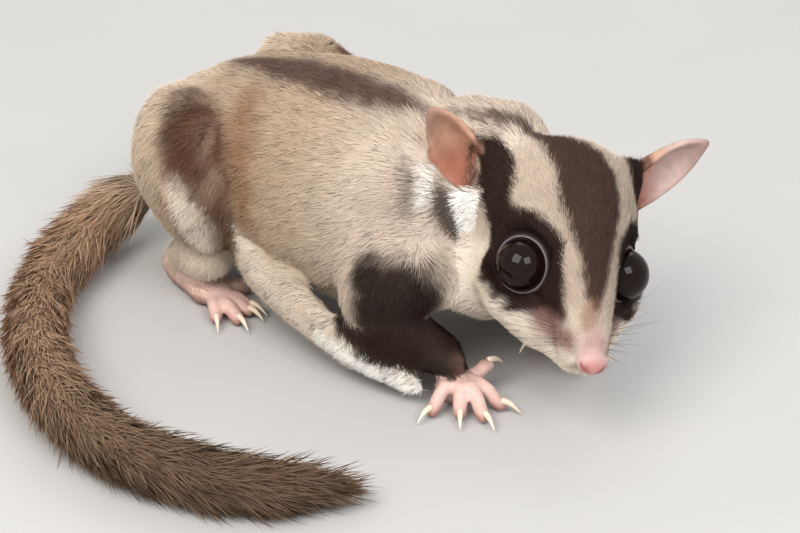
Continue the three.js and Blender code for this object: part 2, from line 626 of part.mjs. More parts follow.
// The tail's lengths, from the rump to the tip. Each is what lies beyond one parting and before the next.
let rest = tailSolid().subtract(torsoGrown);
TAIL_PIECES.forEach((name, i) => {
  const row = LOCKS.partAfter[i];
  addNode(name, row === undefined ? rest : rest.subtract(beyondRow(row, GAP)), "tail_fur");
  if (row !== undefined) rest = rest.intersect(beyondRow(row));
});

function geometryOf(solid) {
  const mesh = solid.getMesh();
  const geometry = new THREE.BufferGeometry();
  const points = new Float32Array(mesh.numVert * 3);
  for (let i = 0; i < mesh.numVert; i += 1) {
    points.set(mesh.vertProperties.subarray(i * mesh.numProp, i * mesh.numProp + 3), i * 3);
  }
  geometry.setAttribute("position", new THREE.BufferAttribute(points, 3));
  geometry.setIndex(new THREE.BufferAttribute(mesh.triVerts, 1));
  return geometry;
}

const glider = new THREE.Group();
const animal = new THREE.Group();
glider.add(animal);
for (const [name, solid, material] of nodes) {
  const mesh = new THREE.Mesh(geometryOf(solid), MATERIALS[material]);
  mesh.name = name;
  animal.add(mesh);
}
const box = new THREE.Box3().setFromObject(animal);
const middle = box.getCenter(new THREE.Vector3());
animal.position.set(-middle.x, -middle.y, 0);

export default glider;
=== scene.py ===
"""A life-size model of a sugar glider: its skin, coat, whiskers, eyes and claws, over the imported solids."""

import collections
import itertools
import math

import bpy
import numpy as np
from bpy.props import FloatProperty, FloatVectorProperty, IntProperty, PointerProperty
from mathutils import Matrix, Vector
from mathutils.bvhtree import BVHTree


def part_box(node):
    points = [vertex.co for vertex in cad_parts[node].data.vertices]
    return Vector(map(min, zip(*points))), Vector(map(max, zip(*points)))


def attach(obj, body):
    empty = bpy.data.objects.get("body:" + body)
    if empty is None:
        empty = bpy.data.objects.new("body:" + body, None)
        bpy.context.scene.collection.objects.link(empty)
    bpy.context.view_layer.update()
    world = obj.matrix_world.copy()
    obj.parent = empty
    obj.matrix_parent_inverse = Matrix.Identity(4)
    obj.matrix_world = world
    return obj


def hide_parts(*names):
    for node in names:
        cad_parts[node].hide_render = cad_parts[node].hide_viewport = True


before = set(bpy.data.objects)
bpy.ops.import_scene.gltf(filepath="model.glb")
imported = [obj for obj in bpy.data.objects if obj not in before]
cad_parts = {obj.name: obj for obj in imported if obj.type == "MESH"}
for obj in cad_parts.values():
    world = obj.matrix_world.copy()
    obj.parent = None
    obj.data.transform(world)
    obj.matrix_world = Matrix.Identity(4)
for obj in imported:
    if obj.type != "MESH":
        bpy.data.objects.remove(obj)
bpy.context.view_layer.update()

bl_info = {
    "name": "Sugar glider",
    "version": (1, 0, 0),
    "blender": (4, 5, 0),
    "location": "3D View > Sidebar > Glider",
    "description": "Dresses the solids of a life-size sugar glider with skin, coat, eyes and claws",
    "category": "Object",
}

MM = 0.001
SIDES = {"right": -1, "left": 1}
MIRROR = (-1, 1, 1)
OFF_FLOOR = 0.02  # least height of skin, hair and claws over the floor, in mm

# The animal's own frame, in mm: it faces -Y, its left side is +X and it stands on Z = 0.
# The head's own frame has its origin midway between the eyes, -Y to the nose and +Z to the crown.
HEAD_PLACE = np.array((1.3, -26.2, 28.0))
HEAD_YAW, HEAD_PITCH, HEAD_ROLL = (math.radians(a) for a in (-35.5, 11.2, 13.5))
EYE_RADIUS = 4.8
EYE_SPREAD = 9.7
EYE_AXIS = np.array((0.76, -0.58, 0.29))
EYE_SHIFT = (-0.5, -0.5)  # y and z of an eyeball's middle, from the middle of its solid
NOSE_TIP = np.array((0.0, -21.5, -6.0))
# The tail's middle line and its radius out to the tips of the hair: x, y, z, radius
TAIL = np.array((
    (-1, 66, 19, 6.0), (-7, 77, 13.5, 6.2), (-19, 80, 8.4, 6.4), (-36, 74, 6.3, 6.4), (-51, 62, 6.2, 6.4),
    (-63, 46, 6.2, 6.4), (-70, 28, 6.0, 6.3), (-71, 10, 5.8, 6.0), (-65, -7, 5.2, 5.4), (-54, -19, 4.0, 3.2),
))
TAIL_FLESH = 0.42  # radius of the tail without its hair, as a share of that radius


def turn(axis, angle):
    """The matrix of a turn about X, Y or Z."""
    c, s = math.cos(angle), math.sin(angle)
    i, j = [k for k in range(3) if k != axis]
    m = np.eye(3)
    m[i, i] = m[j, j] = c
    m[i, j], m[j, i] = (-s, s) if axis != 1 else (s, -s)
    return m


HEAD_AXES = turn(2, HEAD_YAW) @ turn(0, HEAD_PITCH) @ turn(1, HEAD_ROLL)


def middle(node):
    """The middle of a node's box, in metres."""
    low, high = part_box(node)
    return np.array((low + high) / 2)


SHIFT = (middle("eye_right") + middle("eye_left")) / 2 - HEAD_PLACE * MM


def to_part(points):
    return np.asarray(points) * MM + SHIFT


def to_animal(points):
    return (np.asarray(points) - SHIFT) / MM


def to_head(points):
    """From the animal's frame to the head's."""
    return (points - HEAD_PLACE) @ HEAD_AXES


def from_head(points):
    return np.asarray(points) @ HEAD_AXES.T + HEAD_PLACE


def distance(points, place):
    return np.linalg.norm(points - np.asarray(place), axis=1)


# Regions of the coat. For each: the first word of its nodes, how deep the coat is over the skin, the length,
# width and rise of its tufts, the tufts in a square millimetre, and how much the skin is smoothed, from 0 to 1.
Region = collections.namedtuple("Region", "word depth length width rise density smoothing")
REGIONS = {
    "torso": Region("torso", 0.9, 3.8, 0.16, 0.21, 19.0, 1.0),
    "neck": Region("neck", 0.9, 3.4, 0.16, 0.20, 20.0, 1.0),
    "head": Region("head", 0.5, 2.8, 0.14, 0.24, 26.0, 0.4),
    "ear": Region("ear", 0.0, 1.2, 0.08, 0.25, 14.0, 0.3),
    "forefoot": Region("forefoot", 0.0, 0.8, 0.10, 0.3, 10.0, 0.1),
    "hind_foot": Region("hind_foot", 0.0, 0.9, 0.10, 0.3, 10.0, 0.1),
    "thigh": Region("thigh", 0.9, 3.6, 0.16, 0.21, 19.0, 1.0),
    "shank": Region("shank", 0.7, 2.8, 0.15, 0.22, 18.0, 0.7),
    "upper_arm": Region("upper_arm", 0.8, 3.0, 0.15, 0.22, 20.0, 1.0),
    "forearm": Region("forearm", 0.6, 2.2, 0.15, 0.24, 18.0, 0.7),
    "membrane": Region("gliding_membrane", 0.4, 1.9, 0.15, 0.22, 18.0, 0.7),
    "tail": Region("tail", 0.0, 10.0, 0.28, 0.60, 16.0, 0.5),
}
REGION_NAMES = list(REGIONS)
SPECKLED = ("torso", "neck", "thigh", "upper_arm", "membrane")
FLESH = sorted(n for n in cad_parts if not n.startswith(("eye", "claw")))


def region_of(node):
    for i, region in enumerate(REGIONS.values()):
        if node.startswith(region.word):
            return i
    raise ValueError(f"{node} is in no region of the coat")


def shares(weights):
    """Each region's share at each point, by its name."""
    return {name: weights[:, i] for i, name in enumerate(REGION_NAMES)}


def field(weights, name):
    """One of the regions' numbers at each point."""
    return weights @ np.array([getattr(region, name) for region in REGIONS.values()])


# Colour

def linear(code):
    """A colour's linear red, green and blue, from its sRGB hex code."""
    parts = [int(code[i:i + 2], 16) / 255 for i in (1, 3, 5)]
    return np.array([c / 12.92 if c <= 0.04045 else ((c + 0.055) / 1.055) ** 2.4 for c in parts])


TAN = linear("#b39d86")  # back and flank
GREY_TAN = linear("#cbbbaa")  # shoulder and neck
OCHRE = linear("#8a654a")  # flank in front of the haunch
RUMP = linear("#d3c2ae")
CREAM = linear("#d9cdbc")  # cheek, throat, shin and bands of the face
FACE_BAND = linear("#b7a695")
WHITE = linear("#e9e6df")
DARK = linear("#281a15")  # stripes and rings of the face
BROWN = linear("#56413a")  # stripe of the back
UMBER_AND_SHEEN = linear("#43312a")  # stripe of the forehead: dark hair, painted a lighter brown with the sheen of light on it
HAUNCH = linear("#563b2c")
BELLY = linear("#d3c8b7")
TAIL_TAN = linear("#a3856b")
TAIL_DARK = linear("#64503f")
PINK = linear("#bd9c94")  # bare nose
NOSE_PAD = linear("#c1807c")
NOSTRIL_PINK = linear("#8c4046")
SNOUT_BROWN = linear("#8a6650")  # bridge of the snout, between stripe and nose
PAD_PINK = linear("#84625b")  # whisker pad
HAND_PINK = linear("#d8b5aa")
LOW_SHADE_PINK = linear("#8f5347")  # painted shade low on hands and feet, between the fingers and next to the floor
WRIST = linear("#86655a")
EAR_PINK = linear("#bd9178")
EAR_LOW = linear("#a36a55")
EAR_BASE = linear("#6f4a3c")
EAR_FAR = linear("#b99f97")
EAR_TIP = linear("#8e7268")
EAR_HAIR = linear("#7a5a4a")
LID_GREY = linear("#6f6468")


# A stroke is a soft band of colour along points in one frame, painted alike on both sides where it says so.
# Each has a colour, its strength, the width of its soft edge, and rows of x, y, z and half width in mm.
# On the haunch and in front of it, where the paint is mottled
HAUNCH_STROKES = (
    (OCHRE, 0.8, 4.0, True, ((-13, 39, 45, 3), (-18, 36.5, 41, 4.5), (-21.5, 34, 34, 4), (-22, 33, 27, 3))),
    (HAUNCH, 0.95, 2.4, True, (
        (-18.6, 50.6, 40.4, 3.6), (-20.2, 47.6, 38.4, 6.4), (-21.2, 45, 35, 7.0), (-22, 42, 31, 5.4),
        (-22.6, 39.8, 25.6, 4.0), (-20.8, 40.4, 16.9, 3.2))),
    (HAUNCH, 0.85, 2.6, False, ((-14, 53.5, 44.2, 2.0), (-16.5, 52, 42.6, 3.8), (-19, 49.5, 40.4, 5.0))),
)
BODY_STROKES = (
    (CREAM, 0.9, 2.0, True, ((-27.3, 46.6, 30, 2.4), (-27.2, 43.4, 24.9, 3), (-25.6, 42.4, 19.3, 3.4))),
    (BROWN, 0.6, 1.0, True, ((-28, 50.7, 28.9, 0.6), (-28.2, 47.3, 24.8, 0.8), (-26.5, 45.3, 18.4, 0.8))),
    (BROWN, 0.95, 2.3, False, (
        (1, 60, 42, 0.8), (-1.5, 51, 46, 2.6), (-3.2, 41, 49, 4.0), (-4.2, 29, 50.3, 4.6),
        (-4.2, 19, 50.2, 4.6), (-3.4, 12, 49.9, 3.8), (-0.8, 6, 49, 2.0))),
    (BROWN, 0.7, 1.0, False, (
        (-0.8, 6, 49, 1.5), (2, 0.5, 49.2, 1.1), (5.1, -5.1, 48.6, 1.1), (8.2, -9.7, 46.8, 1.6))),
    (DARK, 0.98, 2.2, True, (
        (-20.6, 2.5, 30, 2.0), (-22, 0.6, 26, 5.2), (-21, -4, 23, 7.4), (-20.6, -2.6, 18, 7.8),
        (-20, -1, 12.4, 7.2))),
    (DARK, 0.95, 1.8, True, ((-18, -8, 23, 3.2), (-15.4, -10, 19, 3.6), (-13, -9, 14, 3.4))),
    (WRIST, 0.8, 2.4, True, ((-13.6, -13.6, 9.6, 2.4), (-13.2, -14.6, 6.4, 2.6))),
    (WHITE, 0.98, 0.8, True, (
        (-23.6, 13, 8.4, 1.8), (-23.2, 8, 6.8, 2.6), (-22.8, 2, 5.2, 2.8), (-21.2, -4, 3.8, 2.4),
        (-19, -9.6, 3.0, 2.2))),
    (CREAM, 0.7, 1.2, True, (
        (-21.9, 37, 22.6, 1.2), (-22.2, 32, 17.6, 1.8), (-22.8, 24, 12.4, 1.8), (-23, 14, 8.6, 1.4))),
)
HEAD_STROKES = (
    (EAR_BASE, 0.95, 0.9, True, ((-17.4, 20.0, 10.8, 1.3), (-16.7, 17.6, 8.8, 1.9), (-16.5, 15.6, 7.0, 1.4))),
    (DARK, 1.0, 0.9, True, (
        (-14.6, 18.4, 12.0, 1.8), (-14.3, 16, 10.8, 3.1), (-14, 13.4, 9, 3.6), (-13.2, 10.4, 6.8, 3.5),
        (-13, 7.6, 4, 3.5), (-13, 5, 1.5, 3.3))),
    (DARK, 1.0, 0.9, True, (
        (-7.0, -3.5, 4.0, 3.2), (-6.6, -7.4, 1.2, 3.4), (-5.7, -10.4, -1.5, 2.7), (-4.9, -13, -2.4, 1.3))),
    (DARK, 1.0, 0.8, True, (
        (-13.2, -0.5, -4.4, 2.0), (-9.8, -5.4, -3.9, 3.0), (-6.9, -8.6, -3.4, 3.1), (-5.6, -11, -3.2, 1.8))),
    (WHITE, 1.0, 1.0, True, ((-18.4, 14.6, 4.4, 2.0), (-17.1, 12.8, 2.1, 2.7), (-16.9, 12, -1.2, 2.2))),
    (WHITE, 0.9, 0.8, True, ((-24.1, 19.7, 6.6, 0.7), (-23.5, 17.4, 4.3, 1.3), (-23.6, 15, 0.6, 1.2))),
    (DARK, 0.9, 0.9, True, (
        (-21.4, 15.7, 3.4, 1.0), (-20.3, 14.3, 0.2, 1.8), (-18.7, 13.2, -2.8, 1.7),
        (-16.9, 12.2, -5.9, 0.9))),
    (BROWN, 0.6, 1.2, True, ((-26.7, 18, 5.2, 1.2), (-26.2, 15.7, 1.8, 1.5), (-25.6, 13.8, -1.6, 1.2))),
    (BROWN, 0.8, 1.2, False, ((-12.8, 23.1, 13.8, 1.1), (-7.4, 20.9, 13.8, 1.6), (-4.6, 16.3, 14.8, 2.4))),
    # The forehead's stripe: dark hair, painted lighter brown with the sheen of light on it.
    (UMBER_AND_SHEEN, 1.0, 0.8, False, (
        (-7.0, 20.0, 14.0, 1.3), (-4.4, 16.3, 15.0, 2.4), (-2.6, 12.9, 15.2, 3.8), (-0.6, 9.8, 14.9, 5.0),
        (0.5, 7, 14.2, 5.8), (0.3, 2.6, 12.9, 6.0), (0, -0.6, 11.9, 5.5), (0, -4, 10, 4.4),
        (0, -7, 8, 3.4), (0, -10, 5.7, 2.4), (0, -12.4, 3.2, 1.7), (0, -14.2, 1.3, 0.9))),
    (SNOUT_BROWN, 0.6, 1.0, False, (
        (-0.5, -13.8, 1.5, 1.0), (-0.8, -15.4, -0.4, 1.5), (-1.0, -16.6, -1.8, 1.2))),
    (PAD_PINK, 0.9, 1.4, True, ((-5.6, -9.8, -6.0, 2.0), (-4.8, -13.2, -5.6, 2.7), (-3.6, -16.2, -4.6, 2.1))),
    (PINK, 1.0, 0.9, False, ((0, -17.2, -2.2, 1.2), (0, -18.8, -3.8, 2.4), (0, -20.8, -5.4, 3.2))),
    (NOSE_PAD, 0.9, 0.8, False, ((-0.6, -21.4, -5.6, 1.2), (0.6, -21.4, -5.6, 1.2))),
    (NOSTRIL_PINK, 0.95, 0.35, True, (
        (-2.3, -20.9, -5.3, 0.3), (-1.6, -21.5, -5.9, 0.6), (-0.9, -21.9, -6.6, 0.3))),
)
# The dark ring round an eye lies off to its inner side: its middle on the right, its radius and its soft edge
EYE_RING = (np.array((-9.6, 0.1, 0.2)), 8.2, 0.8)


def smooth_step(x):
    x = np.clip(x, 0, 1)
    return x * x * (3 - 2 * x)


def ramp(values, start, end):
    """0 before the start and 1 past the end, with a smooth change between. Either may be the higher one."""
    return smooth_step((values - start) / (end - start))


def cover(points, rows, soft):
    """How strongly a stroke covers each point, from 0 to 1."""
    best = np.zeros(len(points))
    rows = np.array(rows, float)
    for a, b in zip(rows, rows[1:]):
        line = b[:3] - a[:3]
        t = np.clip((points - a[:3]) @ line / (line @ line), 0, 1)
        far = np.linalg.norm(points - a[:3] - t[:, None] * line, axis=1)
        half = a[3] + (b[3] - a[3]) * t
        best = np.maximum(best, ramp(far, half + soft, half - soft))
    return best


# Large odd numbers that scatter the cells of the noise
CELL_PRIMES = (73856093, 19349663, 83492791)
MIXER = 2654435761


def noise(points, size, seed):
    """Smooth random numbers from -1 to 1 that change over a size in mm."""
    place = points / size + seed * 17.31
    cell = np.floor(place).astype(np.int64)
    part = smooth_step(place - cell)
    total = np.zeros(len(points))
    for corner in itertools.product((0, 1), repeat=3):
        mixed = np.bitwise_xor.reduce((cell + np.array(corner)) * CELL_PRIMES, axis=1)
        mixed = ((mixed & 0xFFFFFFFF) * MIXER >> 8) & 0xFFFF
        weight = np.prod(np.where(np.array(corner), part, 1 - part), axis=1)
        total += weight * (mixed / 32767.5 - 1)
    return total


def blend(colours, other, amount):
    """One colour or many, drawn towards others by an amount for each point."""
    return colours + (other - colours) * np.clip(amount, 0, 1)[:, None]


def painted(colours, places, wobble, strokes, amount):
    """The colours under strokes. A wobble in mm shifts the places, so that the strokes' edges are ragged."""
    for paint, strength, soft, both, rows in strokes:
        on = cover(places + wobble, rows, soft)
        if both:
            on = np.maximum(on, cover(places * MIRROR + wobble, rows, soft))
        colours = blend(colours, paint, strength * on * amount)
    return colours


def markings(points, weights):
    """The coat's colour at points of the animal's frame. weights is the share of each region at each point."""
    share = shares(weights)
    off_tail = 1 - share["tail"]
    y, z = points[:, 1], points[:, 2]
    head = to_head(points)
    ragged = 0.7 * noise(points, 1.2, 3)[:, None]
    rough = ragged + 0.6 * noise(points * (1, 0.5, 0.5), 0.7, 33)[:, None]
    mottled = 1 + 0.3 * noise(points * (1, 1, 0.6), 2.6, 31)

    colours = blend(TAN, GREY_TAN, ramp(y, 26, 2))
    colours = blend(colours, RUMP, ramp(y, 48, 68))
    colours = blend(colours, BELLY, ramp(z, 17, 7) * (share["torso"] + share["neck"]))
    colours = blend(colours, CREAM, 0.95 * share["neck"] * ramp(z, 36, 24))
    colours = blend(colours, CREAM, 0.5 * share["membrane"] + 0.6 * share["shank"])
    colours = blend(colours, DARK, 0.97 * smooth_step(1.6 * share["forearm"]))
    colours = painted(colours, points, rough, HAUNCH_STROKES, off_tail * mottled)
    colours = painted(colours, points, rough, BODY_STROKES, off_tail)

    face = blend(FACE_BAND, CREAM, ramp(head[:, 2], 1, -5))
    face = blend(face, GREY_TAN, ramp(head[:, 1], 10, 20))
    colours = blend(colours, face, smooth_step(2 * share["head"]))
    middle_of_ring, radius, soft = EYE_RING
    for side in SIDES.values():
        away = distance(head + 0.5 * ragged, middle_of_ring * (-side, 1, 1))
        colours = blend(colours, DARK, ramp(away, radius + soft, radius - soft) * off_tail)
    colours = painted(colours, head, 0.5 * ragged, HEAD_STROKES, off_tail)

    along = tail_share(points)
    tail = blend(TAIL_TAN, TAIL_DARK, ramp(along, 0.45, 0.85))
    colours = blend(colours, tail, smooth_step(2 * share["tail"]) * ramp(along, 0.02, 0.16))
    return blend(colours, EAR_HAIR, smooth_step(2 * share["ear"]))


def bare_colours(points):
    """The colours of ear skin and foot skin at points, where no coat covers them, with painted shade low on
    hands and feet.
    """
    head = to_head(points)
    outward = np.abs(head[:, 0])
    ear = blend(EAR_PINK, EAR_LOW, ramp(head[:, 2], 10.5, 5.5))
    ear = blend(ear, EAR_FAR, ramp(outward, 17, 22) * (head[:, 0] > 0))
    ear = blend(ear, EAR_TIP, 0.8 * ramp(outward, 23, 28))
    for side in SIDES.values():
        fold = distance(head, (15.4 * side, 18.4, 9.6))
        ear = blend(ear, EAR_BASE, ramp(fold, 4.2, 1.6))
    ear = blend(ear, EAR_FAR, 0.5 * ramp(outward, 17.5, 15.5) * ramp(head[:, 2], 6, 4))
    ear = ear * (1 + 0.1 * noise(points, 1.1, 8))[:, None]
    height = points[:, 2]
    # Hands and feet darken towards the floor: painted shade between the fingers and under them.
    foot = blend(HAND_PINK, LOW_SHADE_PINK, 0.75 * ramp(height, 3.4, 0.8))
    foot = blend(foot, WRIST, 0.8 * ramp(height, 5.6, 7.2))
    foot = foot * (1 + 0.06 * noise(points, 0.8, 9))[:, None]
    return ear, foot


# Curves and surfaces as arrays

def unit(v):
    return v / np.maximum(np.linalg.norm(v, axis=-1, keepdims=True), 1e-9)


def eye_frame(side):
    """The middle of the eyeball on one side, and the way that it looks."""
    return from_head((EYE_SPREAD * side, *EYE_SHIFT)), unit(EYE_AXIS * (side, 1, 1)) @ HEAD_AXES.T


FINER = 12  # steps along a curve for each of its even points


def smooth_path(rows, count):
    """Points evenly spread along a smooth curve through the rows (Catmull-Rom)."""
    rows = np.asarray(rows, float)
    ends = np.vstack((2 * rows[0] - rows[1], rows, 2 * rows[-1] - rows[-2]))
    steps = np.linspace(0, len(rows) - 1 - 1e-9, FINER * count)
    i, t = np.floor(steps).astype(int), (steps % 1)[:, None]
    a, b, c, d = ends[i], ends[i + 1], ends[i + 2], ends[i + 3]
    square, cube = 2 * a - 5 * b + 4 * c - d, 3 * b - a - 3 * c + d
    curve = 0.5 * (2 * b + (c - a) * t + square * t ** 2 + cube * t ** 3)
    reach = np.concatenate(([0], np.cumsum(np.linalg.norm(np.diff(curve[:, :3], axis=0), axis=1))))
    even = np.linspace(0, reach[-1], count)
    return np.stack([np.interp(even, reach, curve[:, k]) for k in range(rows.shape[1])], axis=1)


TAIL_PATH = smooth_path(TAIL, 90)
TAIL_ALONG = unit(np.gradient(TAIL_PATH[:, :3], axis=0))


def tail_nearest(points):
    """The number of the nearest point of the tail's middle line."""
    best, number = np.full(len(points), np.inf), np.zeros(len(points), int)
    for i, place in enumerate(TAIL_PATH[:, :3]):
        far = ((points - place) ** 2).sum(1)
        closer = far < best
        best[closer], number[closer] = far[closer], i
    return number


def tail_share(points):
    return tail_nearest(points) / (len(TAIL_PATH) - 1)


def ring_faces(rings, around):
    """The faces between rings of points that follow one another."""
    faces = []
    for i, j in itertools.product(range(rings - 1), range(around)):
        k = (j + 1) % around
        faces.append((i * around + j, i * around + k, (i + 1) * around + k, (i + 1) * around + j))
    return faces


def tube(path, around):
    """Points and faces of a round tube along rows of x, y, z and radius, closed at both ends."""
    along = unit(np.gradient(path[:, :3], axis=0))
    side = unit(np.cross(along, np.where(np.abs(along[:, 2:]) > 0.9, (0.0, 1.0, 0.0), (0.0, 0.0, 1.0))))
    other = np.cross(side, along)
    angle = np.linspace(0, 2 * math.pi, around, endpoint=False)
    ring = np.cos(angle)[None, :, None] * side[:, None] + np.sin(angle)[None, :, None] * other[:, None]
    points = (path[:, None, :3] + ring * path[:, None, 3:]).reshape(-1, 3)
    ends = [tuple(range(around - 1, -1, -1)), tuple((len(path) - 1) * around + j for j in range(around))]
    return points, ring_faces(len(path), around) + ends


def joined(parts):
    """Points and faces of several meshes as those of one."""
    points, faces, start = [], [], 0
    for some, corners in parts:
        points.append(some)
        faces += [tuple(start + k for k in face) for face in corners]
        start += len(some)
    return np.vstack(points), faces


def new_object(name, points, faces, material=None):
    mesh = bpy.data.meshes.new(name)
    mesh.from_pydata(points, [], faces)
    mesh.update()
    made = bpy.data.objects.new(name, mesh)
    bpy.context.scene.collection.objects.link(made)
    if material:
        mesh.materials.append(material)
    mesh.polygons.foreach_set("use_smooth", np.ones(len(mesh.polygons), bool))
    return made


def with_modifiers(obj):
    """Puts a piece's modifiers into its mesh."""
    shown = obj.evaluated_get(bpy.context.evaluated_depsgraph_get())
    mesh = bpy.data.meshes.new_from_object(shown)
    obj.modifiers.clear()
    old, obj.data = obj.data, mesh
    bpy.data.meshes.remove(old)
    mesh.name = obj.name


def read(data, name, width=1, kind=np.float32):
    """A value of every vertex, edge or other element, as an array."""
    values = np.empty(len(data) * width, kind)
    data.foreach_get(name, values)
    values = values.astype(float if kind is np.float32 else kind)
    return values.reshape(-1, width) if width > 1 else values


class Net:
    """Which vertices of a mesh are joined by an edge, for smoothing values over it."""

    def __init__(self, mesh):
        ends = read(mesh.edges, "vertices", 2, np.int32)
        both = np.vstack((ends, ends[:, ::-1]))
        both = both[np.argsort(both[:, 0], kind="stable")]
        self.other = both[:, 1]
        self.count = np.bincount(both[:, 0], minlength=len(mesh.vertices))
        self.start = np.concatenate(([0], np.cumsum(self.count)[:-1]))

    def relaxed(self, values, rounds, strength=0.5):
        """The values, each drawn towards the mean of its neighbours, a number of rounds."""
        columns = [np.array(column, float) for column in np.asarray(values).T]
        for column in columns:
            for _ in range(rounds):
                mean = np.add.reduceat(column[self.other], self.start) / self.count
                column += strength * (mean - column)
        return np.stack(columns, axis=1)

    def smoothed(self, points, rounds, rounds_back, strength):
        """The points relaxed, and what that took from them given back, itself relaxed."""
        smooth = self.relaxed(points, rounds, strength)
        return smooth + self.relaxed(points - smooth, rounds_back, strength)


def triangles_of(mesh):
    mesh.calc_loop_triangles()
    return read(mesh.loop_triangles, "vertices", 3, np.int32)


def vertex_normals(points, triangles):
    a, b, c = (points[triangles[:, k]] for k in range(3))
    face = np.cross(b - a, c - a)
    total = np.stack([
        sum(np.bincount(triangles[:, k], face[:, axis], len(points)) for k in range(3)) for axis in range(3)
    ], axis=1)
    return unit(total)


COLOUR_LAYER = "Coat"


def set_colours(mesh, colours):
    layer = mesh.color_attributes.new(COLOUR_LAYER, "FLOAT_COLOR", "POINT")
    layer.data.foreach_set("color", np.hstack((colours, np.ones((len(colours), 1)))).astype(np.float32).ravel())


def set_values(mesh, name, values):
    kind, socket = ("FLOAT_VECTOR", "vector") if values.ndim == 2 else ("FLOAT", "value")
    layer = mesh.attributes.new(name, kind, "POINT")
    layer.data.foreach_set(socket, values.astype(np.float32).ravel())


def get_values(mesh, name):
    layer = mesh.attributes[name]
    vector = layer.data_type == "FLOAT_VECTOR"
    return read(layer.data, "vector" if vector else "value", 3 if vector else 1)


# Sizes and colours that a user would change

class GliderSkinSizes(bpy.types.PropertyGroup):
    """Sizes of the skin."""

    cell: FloatProperty(
        name="Cell", description="Size of the cells in which the skin is formed",
        default=0.36 * MM, min=0.2 * MM, max=1 * MM, subtype="DISTANCE", unit="LENGTH")
    overlap: FloatProperty(
        name="Overlap", description="How far each solid is grown so that the gaps between them close",
        default=0.25 * MM, min=0, max=1 * MM, subtype="DISTANCE", unit="LENGTH")
    rounds: IntProperty(
        name="Smoothing", description="Rounds of smoothing over the body", default=150, min=0, max=400)


class GliderCoatSizes(bpy.types.PropertyGroup):
    """Sizes of the coat."""

    density: FloatProperty(
        name="Density", description="Tufts for each that the regions ask for", default=1.0, min=0.05, max=2)
    length: FloatProperty(
        name="Length", description="Length of the hair against life", default=1.0, min=0.3, max=2)
    speckle: FloatProperty(
        name="Speckle", description="Share of tufts with a dark tip on the body", default=0.05, min=0, max=1,
        subtype="FACTOR")
    seed: IntProperty(name="Seed", description="Start of the random numbers", default=11, min=0)


class GliderEyeSizes(bpy.types.PropertyGroup):
    """Sizes and colours of the eyes and whiskers."""

    bulge: FloatProperty(
        name="Cornea", description="How far the cornea stands out of the round eye",
        default=0.15 * MM, min=0, max=1 * MM, subtype="DISTANCE", unit="LENGTH")
    iris: FloatVectorProperty(
        name="Iris", description="Colour of the iris, linear", default=tuple(linear("#1c100c")), size=3,
        min=0, max=1, subtype="COLOR")
    whisker: FloatProperty(
        name="Whisker", description="Thickness of the longest whiskers at the root",
        default=0.16 * MM, min=0.05 * MM, max=0.5 * MM, subtype="DISTANCE", unit="LENGTH")


class GliderStageSizes(bpy.types.PropertyGroup):
    """Camera and light."""

    azimuth: FloatProperty(
        name="Azimuth", description="Where the camera stands round the animal",
        default=math.radians(-47), subtype="ANGLE", unit="ROTATION")
    elevation: FloatProperty(
        name="Elevation", description="How high the camera stands above the floor's plane",
        default=math.radians(28), subtype="ANGLE", unit="ROTATION")
    distance: FloatProperty(
        name="Distance", description="From the camera to the middle of the view",
        default=420 * MM, subtype="DISTANCE", unit="LENGTH")
    lens: FloatProperty(name="Lens", description="Focal length in mm on a 36 mm sensor", default=104, min=20)


# Materials

def add_node(tree, kind, settings=None, links=None):
    """Adds a node with its settings, and links outputs to its inputs."""
    made = tree.nodes.new(kind)
    for name, value in (settings or {}).items():
        if name in made.inputs:
            made.inputs[name].default_value = value
        else:
            setattr(made, name, value)
    for name, output in (links or {}).items():
        tree.links.new(output, made.inputs[name])
    return made


def new_material(name, shader, build=None):
    """A material whose shader has these settings. build(tree) gives the outputs linked to its sockets."""
    made = bpy.data.materials.new(name)
    made.use_nodes = True
    made.node_tree.nodes.clear()
    links = build(made.node_tree) if build else {}
    surface = add_node(made.node_tree, "ShaderNodeBsdfPrincipled", shader, links)
    add_node(made.node_tree, "ShaderNodeOutputMaterial", links={"Surface": surface.outputs["BSDF"]})
    return made


def texture(tree, kind, size, **settings):
    """A texture in the piece's own space, with a pattern of a size in mm."""
    place = add_node(tree, "ShaderNodeTexCoord")
    return add_node(tree, kind, {"Scale": 1 / (size * MM), **settings}, {"Vector": place.outputs["Object"]})


def ranged(tree, value, low, high):
    """A value from 0 to 1 taken to a range."""
    made = add_node(tree, "ShaderNodeMapRange", {"To Min": low, "To Max": high}, {"Value": value})
    return made.outputs["Result"]


def relief(tree, height, strength, depth):
    """The normal of fine relief, with a depth in mm."""
    made = add_node(tree, "ShaderNodeBump", {"Strength": strength, "Distance": depth * MM}, {"Height": height})
    return made.outputs["Normal"]


def two_tone(tree, size, first, second):
    """Two colours clouded into each other over a size in mm. Sockets 6 and 7 of a mix are its colours."""
    cloud = texture(tree, "ShaderNodeTexNoise", size)
    made = add_node(tree, "ShaderNodeMix", {"data_type": "RGBA"}, {"Factor": cloud.outputs[0]})
    made.inputs[6].default_value = (*first, 1)
    made.inputs[7].default_value = (*second, 1)
    return made.outputs[2]


def grain(tree, size, contrast):
    """The painted colour with a fine grain of a size in mm, and the noise itself."""
    speck = texture(tree, "ShaderNodeTexNoise", size, Detail=3.0).outputs[0]
    paint = add_node(tree, "ShaderNodeVertexColor", {"layer_name": COLOUR_LAYER})
    level = ranged(tree, speck, 1 - contrast, 1 + contrast)
    shaded = add_node(tree, "ShaderNodeVectorMath", {"operation": "SCALE"}, {"Scale": level})
    tree.links.new(paint.outputs["Color"], shaded.inputs[0])
    return shaded.outputs[0], speck


def coat_hair():
    """Guard hair over underfur: dull, a little smoother on some strands than on others."""
    def build(tree):
        colour, speck = grain(tree, 0.6, 0.10)
        return {"Base Color": colour, "Roughness": ranged(tree, speck, 0.62, 0.86)}
    return new_material("Glider hair, soft guard hair over underfur", {"Specular IOR Level": 0.14}, build)


